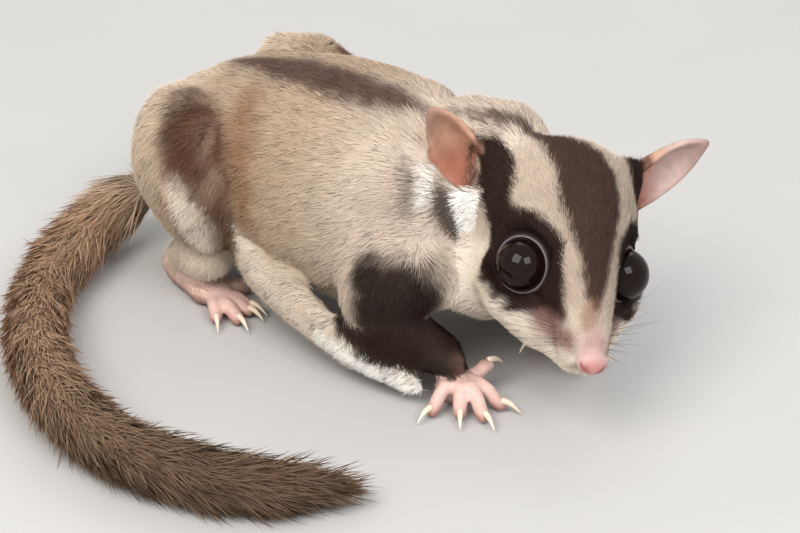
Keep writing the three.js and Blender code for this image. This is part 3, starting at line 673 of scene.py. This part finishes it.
def furred_skin():
    """Skin under the coat: dull, with the short underfur as a fine bump that breaks the light."""
    def build(tree):
        colour, speck = grain(tree, 0.35, 0.14)
        return {"Base Color": colour, "Normal": relief(tree, speck, 0.5, 0.12)}
    return new_material("Furred skin, dense underfur", {"Roughness": 0.85, "Specular IOR Level": 0.15}, build)


def bare_skin():
    """Thin bare skin of nose and feet: a soft, moist sheen, fine creases, and light that glows through."""
    def build(tree):
        colour, speck = grain(tree, 0.45, 0.08)
        crease = texture(tree, "ShaderNodeTexVoronoi", 0.5).outputs["Distance"]
        return {
            "Base Color": colour, "Normal": relief(tree, crease, 0.35, 0.08),
            "Roughness": ranged(tree, speck, 0.38, 0.6),
        }
    shader = {"Specular IOR Level": 0.45, "Subsurface Weight": 0.25, "Subsurface Scale": 0.8 * MM,
              "Subsurface Radius": (1.0, 0.35, 0.25)}
    return new_material("Bare skin, thin and moist", shader, build)


def ear_skin():
    """Thin bare skin of the ear: satin, with fine veins as low relief, and warm where light comes through."""
    def build(tree):
        colour, speck = grain(tree, 0.8, 0.12)
        vein = texture(tree, "ShaderNodeTexNoise", 1.6, Detail=4.0, Distortion=1.2).outputs[0]
        return {
            "Base Color": colour, "Normal": relief(tree, vein, 0.3, 0.1),
            "Roughness": ranged(tree, speck, 0.45, 0.68),
        }
    shader = {"Specular IOR Level": 0.4, "Subsurface Weight": 0.15, "Subsurface Scale": 1.0 * MM,
              "Subsurface Radius": (1.0, 0.3, 0.2)}
    return new_material("Ear skin, thin and satin", shader, build)


def eye_surface(iris):
    """Glass-smooth wet eye: a brown-black iris under a clear surface that mirrors the lights."""
    def build(tree):
        return {"Base Color": two_tone(tree, 1.5, iris, 0.35 * np.array(iris))}
    shader = {"Roughness": 0.04, "IOR": 1.38, "Specular IOR Level": 0.3}
    return new_material("Eye, wet cornea over a dark iris", shader, build)


def claw_horn():
    """Claw horn: pale and satin, with fine growth lines."""
    def build(tree):
        return {"Base Color": two_tone(tree, 0.3, linear("#efe4d2"), linear("#d9c3ab"))}
    shader = {"Roughness": 0.35, "Subsurface Weight": 0.2, "Subsurface Scale": 0.5 * MM}
    return new_material("Claw horn, satin", shader, build)


def whisker_hair():
    """Stiff whisker hair: dark, smooth and slightly glossy."""
    return new_material(
        "Whisker, stiff dark hair", {"Base Color": (*linear("#2b201c"), 1), "Roughness": 0.4})


def floor_paint():
    """Matt pale painted board."""
    def build(tree):
        return {"Base Color": two_tone(tree, 40, linear("#bbbab8"), linear("#b6b5b3"))}
    return new_material("Floor, matt pale paint", {"Roughness": 0.8, "Specular IOR Level": 0.2}, build)


# Operators

def solid(node):
    """Points and triangles of a solid, in metres."""
    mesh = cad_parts[node].data
    return read(mesh.vertices, "co", 3), triangles_of(mesh)


def solids_as_one(overlap):
    """Points and faces of all flesh, each solid grown a little, with the tail as its bare core."""
    parts = []
    for node in FLESH:
        if node.startswith("tail"):
            continue
        points, triangles = solid(node)
        points, number = np.unique(np.round(points, 7), axis=0, return_inverse=True)
        triangles = number.reshape(-1)[triangles]
        parts.append((points + overlap * vertex_normals(points, triangles), triangles.tolist()))
    core = TAIL_PATH * (1, 1, 1, TAIL_FLESH)
    step = np.arange(len(core))
    core[:, 3] *= np.sqrt(np.clip(np.minimum(step / 3, step[::-1] / 6), 0.02, 1))
    points, faces = tube(core, 16)
    return joined(parts + [(to_part(points), faces)])


def region_weights(mesh, net):
    """The share of each region at each vertex, soft where two meet."""
    solids = [solid(node) for node in FLESH]
    owner = [region_of(node) for node, (_, triangles) in zip(FLESH, solids) for _ in triangles]
    points, faces = joined((points, triangles.tolist()) for points, triangles in solids)
    tree = BVHTree.FromPolygons(points.tolist(), faces)
    weights = np.zeros((len(mesh.vertices), len(REGIONS)))
    for i, vertex in enumerate(mesh.vertices):
        weights[i, owner[tree.find_nearest(vertex.co)[2]]] = 1
    return net.relaxed(weights, 16)


UNDERFUR_AND_SHADE = 0.82  # brightness of the skin against the coat over it: the underfur's own darker tone, with painted shade deep in the coat


class GLIDER_OT_skin(bpy.types.Operator):
    """One skin over the whole animal, inside the solids by the depth of its coat"""

    bl_idname = "glider.skin"
    bl_label = "Skin"

    def execute(self, context):
        sizes = context.scene.glider_skin
        skin = new_object("skin", *solids_as_one(sizes.overlap))
        cells = skin.modifiers.new("cells", "REMESH")
        cells.mode, cells.voxel_size = "VOXEL", sizes.cell
        with_modifiers(skin)
        mesh = skin.data
        net = Net(mesh)
        weights = region_weights(mesh, net)
        share = shares(weights)
        triangles = triangles_of(mesh)

        points = to_animal(read(mesh.vertices, "co", 3))
        points = self.smoothed(points, share, field(weights, "smoothing"), net, sizes.rounds)
        for side in SIDES.values():
            points = self.bared(points, side)
        depth = hair_fields(points, weights)["depth"]
        points = points - vertex_normals(points, triangles) * depth[:, None]
        points = net.relaxed(points, 3, 0.3 * np.minimum(1, depth))
        points[:, 2] = np.maximum(points[:, 2], OFF_FLOOR)
        normals = vertex_normals(points, triangles)

        coat = markings(points, weights)
        ear, foot = bare_colours(points)
        on_foot = share["forefoot"] + share["hind_foot"]
        on_nose = ramp(distance(to_head(points), NOSE_TIP), 4.6, 2.6)
        # The skin is darker than the coat over it: the underfur's own tone, with painted shade deep in the
        # coat.
        colours = blend(coat * UNDERFUR_AND_SHADE, ear, smooth_step(2 * share["ear"] - 0.3))
        colours = blend(colours, foot, smooth_step(2 * on_foot - 0.2))
        colours = blend(colours, coat, on_nose)

        mesh.vertices.foreach_set("co", to_part(points).astype(np.float32).ravel())
        set_colours(mesh, colours)
        for name in REGION_NAMES:
            set_values(mesh, "in_" + name, share[name])
        set_values(mesh, "lie", hair_lie(points, normals, weights, net))
        for material in (furred_skin(), bare_skin(), ear_skin()):
            mesh.materials.append(material)
        number = np.where(share["ear"] > 0.5, 2, np.where(on_foot + on_nose > 0.5, 1, 0))
        corners = read(mesh.loops, "vertex_index", kind=np.int32)
        first = corners[read(mesh.polygons, "loop_start", kind=np.int32)]
        mesh.polygons.foreach_set("material_index", number[first].astype(np.int32))
        mesh.polygons.foreach_set("use_smooth", np.ones(len(mesh.polygons), bool))
        mesh.update()
        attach(skin, "root")
        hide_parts(*FLESH)
        return {"FINISHED"}

    @staticmethod
    def smoothed(points, share, strength, net, rounds):
        """The points smoothed by region, less near eyes and nose, then more where head, neck and arms join."""
        head = to_head(points)
        from_eyes = [distance(head, (EYE_SPREAD * side, 0, 0)) - 6 for side in SIDES.values()]
        from_face = np.minimum.reduce([*from_eyes, distance(head, NOSE_TIP) - 5])
        off_face = smooth_step(from_face / 5)
        strength = 0.5 * strength * (0.12 + 0.88 * off_face)
        strength = np.maximum(strength, 0.5 * share["head"] * ramp(head[:, 1], 5, 11))
        points = net.smoothed(points, rounds, rounds, strength)
        joins = share["neck"] + share["upper_arm"] + 0.6 * share["forearm"]
        joins = joins + share["head"] * ramp(head[:, 1], 3, 9)
        joins = joins + share["torso"] * ramp(points[:, 1], 16, 6)
        joins = net.relaxed(np.clip(joins, 0, 1)[:, None], 12)[:, 0]
        joins = joins * off_face * (1 - smooth_step(3 * share["ear"]))
        return net.smoothed(points, 4 * rounds, rounds, 0.5 * joins)

    @staticmethod
    def bared(points, side):
        """The face lowered close round an eye, so that half of the eyeball shows."""
        centre, axis = eye_frame(side)
        out = points - centre
        height = out @ axis
        radius = np.linalg.norm(out - height[:, None] * axis, axis=1)
        top = 0.1 - 0.5 * (radius - 5)
        over = np.clip(height - top, 0, None) * ramp(radius, 6.8, 5.6) * (height > -2)
        return points - axis * over[:, None]


def hair_fields(points, weights):
    """The coat's depth, length and width in mm, its rise as a share of length, and its tufts per square mm."""
    share = shares(weights)
    head = to_head(points)
    from_nose = distance(head, NOSE_TIP)
    grown = np.clip((from_nose - 3) / 18, 0, 1)  # from the bare nose back to the crown
    hair = {name: field(weights, name) for name in ("depth", "length", "width", "rise", "density")}
    of_head = {
        "depth": 0.05 + 0.55 * grown, "length": 0.5 + 2.4 * grown, "width": 0.08 + 0.06 * grown,
        "density": 50 - 24 * grown,
    }
    for name, value in of_head.items():
        hair[name] = hair[name] * (1 - share["head"]) + share["head"] * value
    for side in SIDES.values():
        away = distance(head, (EYE_SPREAD * side, 0, 0))
        near = ramp(away, 9.5, 6.5)
        hair["length"] *= 1 - 0.55 * near * share["head"]
        hair["depth"] *= 1 - 0.7 * near * share["head"]
        hair["density"] *= ramp(away, 5.9, 6.4) * (1 + 0.5 * near)
    wrist = np.clip((-9.5 - points[:, 1]) / 3, 0, 1) * share["forefoot"]
    toes = np.clip((50 - points[:, 1]) / 4, 0, 1) * share["hind_foot"]
    hair["density"] *= ramp(from_nose, 3.4, 4.6)
    hair["density"] *= 1 - smooth_step(3 * share["ear"]) * ramp(np.abs(head[:, 0]), 16.4, 17.8)
    hair["density"] *= 1 - wrist - toes
    hair["density"] *= 1 - 0.5 * ramp(points[:, 2], 12, 7) * share["torso"]
    full = TAIL_PATH[tail_nearest(points), 3] / TAIL[:, 3].max()
    hair["rise"] = hair["rise"] * (1 - share["tail"]) + share["tail"] * 0.56 * full
    return hair


def hair_lie(points, normals, weights, net):
    """The way the hair points at each vertex."""
    share = shares(weights[:, :, None])
    flank = np.array((0, 1, -0.1)) + np.abs(normals[:, :1]) * (0, 0, -0.45)
    head = to_head(points)
    back = unit(head - NOSE_TIP - (0, 0, 1.5)) + (0, 0.35, 0)
    for side in SIDES.values():
        away = head - (EYE_SPREAD * side, 0, 0)
        far = np.linalg.norm(away, axis=1, keepdims=True)
        back = back + 1.4 * unit(away) * ramp(far, 10, 5.5)
    back = back @ HEAD_AXES.T
    outward = np.sign(points[:, :1])
    lie = flank * (share["torso"] + share["neck"]) + back * share["head"]
    lie += share["thigh"] * (0, 0.45, -0.9) + share["shank"] * (0, 0.5, -0.85)
    lie += share["upper_arm"] * (0, 0.35, -0.95) + share["forearm"] * (0, -1.0, -0.35)
    lie += share["membrane"] * ((0, 0.7, -0.6) + outward * (0.4, 0, 0))
    lie += (share["forefoot"] + share["hind_foot"]) * (0, -1, -0.2)
    lie += share["ear"] * unit(np.sign(head[:, :1]) * (0.8, 0, 0) + (0, 0.2, 0.6)) @ HEAD_AXES.T
    lie += share["tail"] * TAIL_ALONG[tail_nearest(points)]
    lie = net.relaxed(lie, 60)
    lie -= normals * (lie * normals).sum(1, keepdims=True)
    return unit(lie)


# Rows of a tuft: share of its length, share of its half width
LONG_TUFT = ((0.0, 0.75), (0.4, 1.0), (0.75, 0.6), (1.0, 0.0))
SHORT_TUFT = ((0.0, 0.8), (0.5, 0.9), (1.0, 0.0))
PATCH = 0.003  # size of a tuft's patch on the unwrap
MOST_TRIANGLES = 190000  # in one piece of coat
ROOT_DEPTH = 0.08  # of a tuft under the skin, in mm


def tuft_mesh(name, rows, tufts, material):
    """One mesh of flat tapered tufts. tufts holds an array for each of their sizes, places and colours."""
    count, levels = len(tufts["root"]), len(rows)
    along, across, out = tufts["lie"], tufts["across"], tufts["normal"]
    length, width = tufts["length"][:, None], tufts["width"][:, None]
    points, colours, flat = [], [], []
    for t, broad in rows:
        lift = tufts["rise"][:, None] * length * (t - 0.45 * t * t) - ROOT_DEPTH * (1 - t)
        sway = across * tufts["sway"][:, None] * length * t * t
        spine = tufts["root"] + along * length * t + out * lift + sway
        shade = tufts["colour"] + (tufts["tip"] - tufts["colour"]) * smooth_step((t - 0.25) / 0.6)
        shade = shade * (0.84 + 0.16 * min(1, t / 0.45))
        for side in (-1, 1) if broad else (0,):
            points.append(spine + across * width * 0.5 * broad * side)
            colours.append(shade)
            flat.append(tufts["unwrap"] + PATCH * np.array((0.5 * side, t)))
    per = len(points)
    points, colours, flat = (np.stack(a, axis=1) for a in (points, colours, flat))
    points[:, :, 2] = np.maximum(points[:, :, 2], OFF_FLOOR)
    corners, starts = [], []
    for level in range(levels - 1):
        base = 2 * level
        starts.append(len(corners))
        corners += [base, base + 1, base + 3, base + 2] if level < levels - 2 else [base, base + 1, base + 2]
    corners, starts = np.array(corners), np.array(starts)
    offsets = np.arange(count)[:, None]
    mesh = bpy.data.meshes.new(name)
    mesh.vertices.add(count * per)
    mesh.vertices.foreach_set("co", to_part(points.reshape(-1, 3)).astype(np.float32).ravel())
    mesh.loops.add(count * len(corners))
    mesh.loops.foreach_set("vertex_index", (corners[None] + per * offsets).astype(np.int32).ravel())
    mesh.polygons.add(count * len(starts))
    mesh.polygons.foreach_set("loop_start", (starts[None] + len(corners) * offsets).astype(np.int32).ravel())
    mesh.polygons.foreach_set("use_smooth", np.ones(count * len(starts), bool))
    mesh.update(calc_edges=True)
    unwrap = mesh.uv_layers.new(name="OFBake")
    unwrap.uv.foreach_set("vector", flat[:, corners].astype(np.float32).ravel())
    set_colours(mesh, colours.reshape(-1, 3))
    mesh.materials.append(material)
    made = bpy.data.objects.new(name, mesh)
    bpy.context.scene.collection.objects.link(made)
    return made


BODY_AXIS = 28  # height of the body's middle line, for its unwrap
LIMB_AXIS = (16, 12)  # how far out and how high the middle line of a limb's unwrap is
UNWRAP_EDGE = 0.01


def unwrapped(points, region):
    """Where points of the skin lie on an unwrap of its shape: round it, and along it."""
    x, along, z = points.T
    if region == "tail":
        number = tail_nearest(points)
        out = points - TAIL_PATH[number, :3]
        angle = np.arctan2(out[:, 2], (np.cross(TAIL_ALONG[number], (0, 0, 1)) * out).sum(1))
        along = number + (out * TAIL_ALONG[number]).sum(1)
    elif region in ("head", "ear"):
        head = to_head(points)
        angle, along = np.arctan2(head[:, 2] + 2, head[:, 0]), head[:, 1]
    elif region in ("torso", "neck"):
        angle = np.arctan2(z - BODY_AXIS, x)
    else:
        angle = np.arctan2(z - LIMB_AXIS[1], x - LIMB_AXIS[0] * np.sign(x))
        return np.stack((0.5 + 0.22 * (np.sign(x) + angle / math.pi), along), axis=1)
    return np.stack((0.5 + angle / (2 * math.pi), along), axis=1)


class GLIDER_OT_coat(bpy.types.Operator):
    """The coat as flat tapered tufts rooted in the skin, in pieces by region"""

    bl_idname = "glider.coat"
    bl_label = "Coat"

    def execute(self, context):
        sizes = context.scene.glider_coat
        random = np.random.default_rng(sizes.seed)
        material = coat_hair()
        mesh = bpy.data.objects["skin"].data
        triangles = triangles_of(mesh)
        points = to_animal(read(mesh.vertices, "co", 3))
        weights = np.stack([get_values(mesh, "in_" + name) for name in REGION_NAMES], axis=1)
        values = {
            "root": points, "normal": vertex_normals(points, triangles), "lie": get_values(mesh, "lie"),
            "colour": markings(points, weights), **hair_fields(points, weights),
        }
        a, b, c = (points[triangles[:, k]] for k in range(3))
        area = np.linalg.norm(np.cross(b - a, c - a), axis=1) / 2
        main = weights[triangles].mean(1).argmax(1)
        wanted = area * values["density"][triangles].mean(1) * sizes.density
        for number, region in enumerate(REGION_NAMES):
            here = np.where(main == number, wanted, 0)
            count = int(here.sum())
            if not count:
                continue
            picked = random.choice(len(triangles), count, p=here / here.sum())
            spots = self.spots(random, triangles[picked], values)
            tufts = self.tufts(random, spots, region, sizes)
            rows = LONG_TUFT if region == "tail" else SHORT_TUFT
            order = np.argsort(tufts["root"][:, 1], kind="stable")
            pieces = math.ceil(count * (2 * len(rows) - 3) / MOST_TRIANGLES)
            for i, chosen in enumerate(np.array_split(order, pieces)):
                share = {name: each[chosen] for name, each in tufts.items()}
                along = share["unwrap"][:, 1]
                along[:] = (along - along.min()) / (along.max() - along.min())
                along[:] = UNWRAP_EDGE + (1 - 2 * UNWRAP_EDGE) * along
                piece = tuft_mesh(f"coat_{region}_{i + 1}", rows, share, material)
                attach(piece, "root")
        return {"FINISHED"}

    @staticmethod
    def spots(random, corners, values):
        """The values at a random spot in each triangle, from those at its corners."""
        u, v = random.random(len(corners)), random.random(len(corners))
        u, v = np.where(u + v > 1, 1 - u, u), np.where(u + v > 1, 1 - v, v)
        part = np.stack((1 - u - v, u, v), axis=1)
        return {
            name: (each[corners] * (part if each.ndim == 1 else part[:, :, None])).sum(1)
            for name, each in values.items()
        }

    @staticmethod
    def tufts(random, spots, region, sizes):
        """The sizes, places and colours of tufts at spots of the skin, varied as hair is."""
        root, normal, along = spots["root"], unit(spots["normal"]), spots["lie"]
        count = len(root)
        clump = np.stack([noise(root, 2.2, seed) for seed in (21, 22)], axis=1)
        spread = 0.34 if region == "tail" else 0.30
        side = unit(np.cross(along, normal))
        along = unit(along + side * (spread * random.normal(0, 0.6, count) + 0.22 * clump[:, 0])[:, None])
        along = unit(along - normal * (along * normal).sum(1, keepdims=True))
        roll = random.normal(0, 0.16, count)[:, None]
        across = unit(np.cross(along, normal)) * np.cos(roll) + normal * np.sin(roll)
        length = spots["length"] * sizes.length * random.uniform(0.7, 1.2, count) * (1 + 0.1 * clump[:, 1])
        width = spots["width"] * random.uniform(0.75, 1.25, count)
        rise = spots["rise"] * random.uniform(0.55, 1.25, count)
        bright = 1 + 0.04 * random.normal(0, 1, count) + 0.06 * noise(root, 1.4, 5) + 0.07 * noise(root, 6, 6)
        colour = spots["colour"] * np.clip(bright, 0.6, 1.4)[:, None]
        tip = colour * random.uniform(1.0, 1.12, count)[:, None]
        if region in SPECKLED:
            parted = ramp(noise(root, 1.3, 13), 0.42, 0.62) * smooth_step(0.6 + noise(root, 5, 14))
            dark = (random.random(count) < sizes.speckle * (1 + 12 * parted))[:, None]
            colour = np.where(dark, colour * 0.5, colour)
            tip = np.where(dark, tip * 0.42, tip)
        return {
            "root": root, "normal": normal, "lie": along, "across": across, "length": length, "width": width,
            "rise": rise, "sway": random.normal(0, 0.08, count), "colour": colour, "tip": tip,
            "unwrap": unwrapped(root, region),
        }


class GLIDER_OT_eyes(bpy.types.Operator):
    """Both eyeballs with their corneas, and the rims of the lids round them"""

    bl_idname = "glider.eyes"
    bl_label = "Eyes"

    # The rim's section: distance from the eye's axis, height over the eye's middle
    LID = ((6.6, -1.5), (6.0, -0.5), (5.55, 0.05), (5.28, 0.36), (5.1, 0.5), (4.97, 0.54), (4.89, 0.46),
           (4.85, 0.25), (4.83, -0.1))
    AROUND = 64

    def execute(self, context):
        sizes = context.scene.glider_eyes
        angle = np.linspace(0, math.pi, 41)
        radius = EYE_RADIUS + sizes.bulge / MM * np.cos(np.minimum(angle, math.pi / 2)) ** 2
        ball = np.stack((radius * np.sin(angle), radius * np.cos(angle)), axis=1)
        wet, rim_skin = eye_surface(tuple(sizes.iris)), bare_skin()
        for name, side in SIDES.items():
            eye = self.turned(f"eyeball_{name}", ball, side, wet)
            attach(eye, "root")
            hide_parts(f"eye_{name}")
            rim = self.turned(f"lid_rim_{name}", self.LID, side, rim_skin)
            set_colours(rim.data, self.rim_colours(rim.data, side))
            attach(rim, "root")
        return {"FINISHED"}

    @classmethod
    def turned(cls, name, profile, side, material):
        """A round body or ring about the eye's axis."""
        centre, axis = eye_frame(side)
        across = unit(np.cross(axis, (0, 0, 1)))
        up = np.cross(across, axis)
        angle = np.linspace(0, 2 * math.pi, cls.AROUND, endpoint=False)
        ring = np.cos(angle)[:, None] * across + np.sin(angle)[:, None] * up
        out, height = np.array(profile).T[:, :, None, None]
        points = centre + out * ring + height * axis
        faces = [face[:1] + face[:0:-1] for face in ring_faces(len(profile), cls.AROUND)]
        made = new_object(name, to_part(points.reshape(-1, 3)), faces, material)
        weld = made.modifiers.new("weld", "WELD")
        weld.merge_threshold = 1e-6
        with_modifiers(made)
        return made

    @staticmethod
    def rim_colours(mesh, side):
        out = distance(to_animal(read(mesh.vertices, "co", 3)), eye_frame(side)[0])
        return blend(LID_GREY, 0.8 * DARK, ramp(out, 5.12, 5.37))


class GLIDER_OT_claws(bpy.types.Operator):
    """Every claw, hooked and tapered, from the root to the tip of its solid"""

    bl_idname = "glider.claws"
    bl_label = "Claws"

    def execute(self, context):
        horn = claw_horn()
        for node in sorted(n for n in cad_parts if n.startswith("claw")):
            solid = to_animal(read(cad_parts[node].data.vertices, "co", 3))
            low = solid[solid[:, 2].argmin()]
            far = np.linalg.norm(solid - low, axis=1)
            root = solid[far > far.max() - 0.7].mean(0)
            way = low - root
            start = root - 0.5 * unit(way * (1, 1, 0))
            arch = (start + low) / 2 + (0, 0, 0.55)
            path = smooth_path([(*start, 0.62), (*root, 0.6), (*arch, 0.46), (*low, 0.06)], 14)
            path[:, 2] = np.maximum(path[:, 2], path[:, 3] + OFF_FLOOR)
            points, faces = tube(path, 12)
            claw = new_object(node.replace("claw", "nail"), to_part(points), faces, horn)
            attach(claw, "root")
            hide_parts(node)
        return {"FINISHED"}


class GLIDER_OT_whiskers(bpy.types.Operator):
    """Long whiskers on the pads of the lip"""

    bl_idname = "glider.whiskers"
    bl_label = "Whiskers"

    def execute(self, context):
        thick = context.scene.glider_eyes.whisker / MM
        random = np.random.default_rng(5)
        steps = np.linspace(0, 1, 9)[:, None]
        parts = []
        for side, row, i in itertools.product(SIDES.values(), range(4), range(4)):
            root = np.array(((3.2 + 0.35 * i) * side, -16.2 + 1.5 * i, -4.4 - 1.05 * row))
            reach = (9 + 3.6 * i) * (1 - 0.12 * row) * random.uniform(0.85, 1.1)
            way = unit(np.array(((1.0 + 0.1 * i) * side, 0.1 + 0.22 * i, 0.25 - 0.3 * row)))
            way = unit(way + random.normal(0, 0.08, 3))
            sag = np.array((0, 0.14, -0.16)) * reach * steps ** 2
            line = root - 0.6 * way + way * reach * steps + sag
            radius = 0.5 * thick * (0.55 + 0.1 * i) * (1 - 0.92 * steps)
            parts.append(tube(np.hstack((from_head(line), radius)), 4))
        points, faces = joined(parts)
        whiskers = new_object("whiskers", to_part(points), faces, whisker_hair())
        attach(whiskers, "root")
        return {"FINISHED"}


def aimed(name, data, target, azimuth, elevation, distance_away):
    """A camera or lamp that looks at a target from an azimuth, an elevation and a distance."""
    level = math.cos(elevation)
    way = Vector((math.sin(azimuth) * level, -math.cos(azimuth) * level, math.sin(elevation)))
    made = bpy.data.objects.new(name, data)
    made.location = target + way * distance_away
    made.rotation_euler = (-way).to_track_quat("-Z", "Y").to_euler()
    bpy.context.scene.collection.objects.link(made)
    return made


class GLIDER_OT_stage(bpy.types.Operator):
    """Pale floor, soft lights and the camera"""

    bl_idname = "glider.stage"
    bl_label = "Stage"

    # Window-like panels: azimuth, elevation, distance and size in metres, power in watts, colour
    PANELS = (
        ("key_light", -84, 50, 0.75, 0.46, 4.6, "#fffaf3"),
        ("fill_light", -18, 42, 0.9, 0.42, 3.8, "#f8f9ff"),
        ("rim_light", 120, 40, 0.9, 0.6, 2.2, "#ffffff"),
    )
    TARGET = (-16, 0, 25)
    FLOOR_HALF = 3.0  # half of the floor's side, in metres

    def execute(self, context):
        scene, sizes = context.scene, context.scene.glider_stage
        half = self.FLOOR_HALF
        floor = new_object(
            "floor", [(-half, -half, 0), (half, -half, 0), (half, half, 0), (-half, half, 0)], [(0, 1, 2, 3)],
            floor_paint())
        target = Vector(to_part(self.TARGET))
        camera = bpy.data.cameras.new("camera")
        camera.lens, camera.sensor_width = sizes.lens, 36
        camera.clip_start, camera.clip_end = 0.01, 20
        scene.camera = aimed("camera", camera, target, sizes.azimuth, sizes.elevation, sizes.distance)
        for name, azimuth, elevation, away, size, power, code in self.PANELS:
            light = bpy.data.lights.new(name, "AREA")
            light.energy, light.size, light.color = power, size, tuple(linear(code))
            aimed(name, light, target, math.radians(azimuth), math.radians(elevation), away)
        world = bpy.data.worlds.new("soft_room")
        world.use_nodes = True
        sky = world.node_tree.nodes["Background"]
        sky.inputs["Color"].default_value = (*linear("#e8e9ea"), 1)
        sky.inputs["Strength"].default_value = 0.9
        scene.world = world
        scene.view_settings.view_transform = "Standard"
        return {"FINISHED"}


class GLIDER_PT_panel(bpy.types.Panel):
    """Every piece of the glider, and its sizes"""

    bl_idname = "GLIDER_PT_panel"
    bl_label = "Sugar glider"
    bl_space_type = "VIEW_3D"
    bl_region_type = "UI"
    bl_category = "Glider"

    def draw(self, context):
        for name in SIZES:
            group = getattr(context.scene, name)
            for prop in group.__annotations__:
                self.layout.prop(group, prop)
        for operator in OPERATORS:
            self.layout.operator(operator.bl_idname)


SIZES = {
    "glider_skin": GliderSkinSizes,
    "glider_coat": GliderCoatSizes,
    "glider_eyes": GliderEyeSizes,
    "glider_stage": GliderStageSizes,
}
OPERATORS = (
    GLIDER_OT_skin, GLIDER_OT_coat, GLIDER_OT_eyes, GLIDER_OT_claws, GLIDER_OT_whiskers, GLIDER_OT_stage,
)
CLASSES = (*SIZES.values(), *OPERATORS, GLIDER_PT_panel)


def register():
    for one in CLASSES:
        bpy.utils.register_class(one)
    for name, group in SIZES.items():
        setattr(bpy.types.Scene, name, PointerProperty(type=group))


def unregister():
    for name in SIZES:
        delattr(bpy.types.Scene, name)
    for one in reversed(CLASSES):
        bpy.utils.unregister_class(one)


def main():
    register()
    bpy.ops.glider.skin()
    bpy.ops.glider.coat()
    bpy.ops.glider.eyes()
    bpy.ops.glider.claws()
    bpy.ops.glider.whiskers()
    bpy.ops.glider.stage()
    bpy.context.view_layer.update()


if __name__ == "__main__":
    main()
